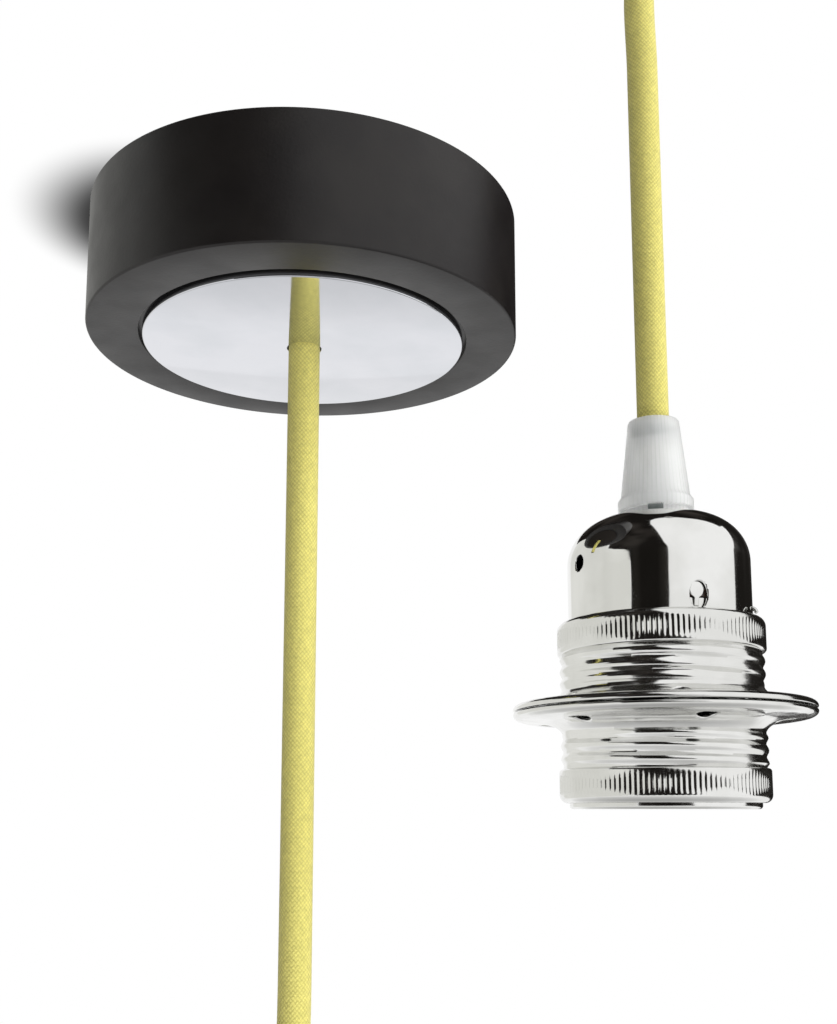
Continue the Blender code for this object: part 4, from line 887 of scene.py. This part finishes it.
def stagePlane(name, corners, material):  # a flat board of any outline that belongs to the stage
    mesh = bpy.data.meshes.new(name)
    mesh.from_pydata(corners, [], [tuple(range(len(corners)))])
    mesh.materials.append(material)
    plane = bpy.data.objects.new(name, mesh)
    bpy.context.scene.collection.objects.link(plane)
    return plane


def stageMaterial(name):  # a material with nothing in it, and the socket that its shader goes to
    material, tree, shader = startMaterial(name, {})
    tree.nodes.remove(shader)
    return material, tree, tree.nodes["Material Output"].inputs["Surface"]


def emission(tree, colour, strength=1.0, links=None):
    return addNode(tree, "ShaderNodeEmission", {"Color": colour, "Strength": strength}, links).outputs[0]


def distanceFrom(tree, point):  # metres from a point, as a socket
    place = addNode(tree, "ShaderNodeTexCoord")
    away = addNode(tree, "ShaderNodeVectorMath", {"operation": "DISTANCE", 1: point},
                   {0: place.outputs["Object"]})
    return away.outputs["Value"]


def levelCorners(left, right, front, back, height):
    return [(left, front, height), (right, front, height), (right, back, height), (left, back, height)]


# The floor is white to the camera. In mirrors it holds a painted shadow: darker under the object.
ground = studio["floor"]
paleFloor, tree, surface = stageMaterial("paleFloor")
rays = addNode(tree, "ShaderNodeLightPath").outputs
plain = addNode(tree, "ShaderNodeBsdfDiffuse", {"Color": hexColour(ground["grey"])}).outputs[0]
bright = addNode(tree, "ShaderNodeAddShader", None, {0: plain, 1: emission(tree, white, ground["glow"])})
# painted shadow: the floor's emission for mirrors is dimmest near the holder and full further off
paintedShadowPool = addNode(tree, "ShaderNodeMapRange", {"From Min": ground["shadowPoolNear"], "From Max": ground["shadowPoolFar"],
                                            "To Min": ground["shadowPoolDarkest"], "To Max": 1.0},
               {"Value": distanceFrom(tree, (studio["holder"][0], 0.0, ground["height"]))})
paintedShadowInMirrors = emission(tree, white, links={"Strength": paintedShadowPool.outputs["Result"]})
toCamera = mixed(tree, rays["Is Camera Ray"], plain, bright.outputs[0])
tree.links.new(mixed(tree, rays["Is Glossy Ray"], toCamera, paintedShadowInMirrors), surface)
reach = ground["reach"]
floor = stagePlane("floor", levelCorners(-reach, reach, -reach, reach, ground["height"]), paleFloor)

# The ceiling itself is as white as the air, so only the rose's soft shadow on it is drawn: dark
# paint that thins out from the rose's left wall, in a plane just under the ceiling.
shade = studio["ceiling"]
shadowPaint, tree, surface = stageMaterial("ceilingShadow")
soft = addNode(tree, "ShaderNodeMapRange",
               {"interpolation_type": "SMOOTHSTEP", "From Min": shade["full"], "From Max": shade["gone"],
                "To Min": shade["depth"], "To Max": 0.0},
               {"Value": distanceFrom(tree, (*shade["centre"], shade["height"]))})
underside = addNode(tree, "ShaderNodeNewGeometry").outputs["Backfacing"]
clear = addNode(tree, "ShaderNodeBsdfTransparent", {"Color": white}).outputs[0]
share = calc(tree, "MULTIPLY", soft.outputs["Result"], underside)
tree.links.new(mixed(tree, share, clear, emission(tree, (0, 0, 0, 1), 0.0)), surface)
ceilingShade = stagePlane("ceilingShade", levelCorners(
    shade["left"], shade["right"], shade["front"], shade["back"], shade["height"]), shadowPaint)
ceilingShade.visible_glossy = ceilingShade.visible_diffuse = ceilingShade.visible_shadow = False


def reflectionCard(name, corners, grey, paler):
    # a painted board, lit a little unevenly, that shows in mirrors only
    paint, tree, surface = stageMaterial(name + "Paint")
    tone = colourRamp(tree, unevenness(tree, 700.0, 0.0, 1.0, 1.0), [(0.35, grey), (1.0, paler)])
    tree.links.new(emission(tree, white, links={"Color": tone}), surface)
    card = stagePlane(name, corners, paint)
    card.visible_camera = card.visible_diffuse = card.visible_shadow = card.visible_transmission = False


for name, grey, paler, bearing, far, corners in studio["walls"]:
    way = np.array([math.sin(math.radians(bearing)), -math.cos(math.radians(bearing)), 0.0])
    side = np.array([-way[1], way[0], 0.0])
    middle = np.array(studio["holder"]) * (1, 1, 0) + way * far
    reflectionCard(name, [tuple(middle + side * right + (0, 0, up)) for right, up in corners], grey, paler)
overhead = studio["overhead"]
reflectionCard("darkCardOverhead", [(x, y, overhead["height"]) for x, y in overhead["corners"]],
               *overhead["greys"])
# a dark round board inside the disc's thickness hides the fittings in the rose from the dome's mirror
board = studio["roseBoard"]
boardTurn = np.linspace(0, 2 * np.pi, board["corners"], endpoint=False)
boardZ = rose["discTop"] - board["below"]
reflectionCard("darkBoardInRose", [(rose["step"] * math.cos(a), rose["step"] * math.sin(a), boardZ)
                                   for a in boardTurn], *overhead["greys"])
for name, bearing, lift, far, width, height, watts in studio["lamps"]:
    light = bpy.data.lights.new(name, "AREA")
    light.shape = "RECTANGLE"
    light.size, light.size_y, light.energy = width, height, watts
    lamp = bpy.data.objects.new(name, light)
    a, e = math.radians(bearing), math.radians(lift)
    way = np.array([math.sin(a) * math.cos(e), -math.cos(a) * math.cos(e), math.sin(e)])
    lamp.location = np.array(studio["holder"]) + way * far
    lamp.rotation_euler = (math.radians(90) - e, 0.0, math.atan2(way[0], -way[1]))
    lamp.visible_glossy = False  # mirrors see the cards and the white air instead
    bpy.context.scene.collection.objects.link(lamp)
# the upper end of the cord once more, for mirrors only: the rose's disc shows it close by
m = studio["mirrorCord"]
nearZ = np.linspace(rose["discFoot"] - m["clear"], m["foot"], m["points"])
nearLine = np.stack([0 * nearZ, 0 * nearZ, nearZ], 1)
nearTube = carried(nearLine, cordSizes["radius"] + m["thicker"], (0, 1, 0), cordSizes["columns"])
cordInDisc = makePiece("cordInDisc", nearTube, finish["braid"], "pendant", capEnds=True)
cordInDisc.visible_camera = cordInDisc.visible_diffuse = cordInDisc.visible_shadow = False
cordInDisc.visible_transmission = False
bpy.context.scene.view_settings.view_transform = "Standard"
print("studio ready")
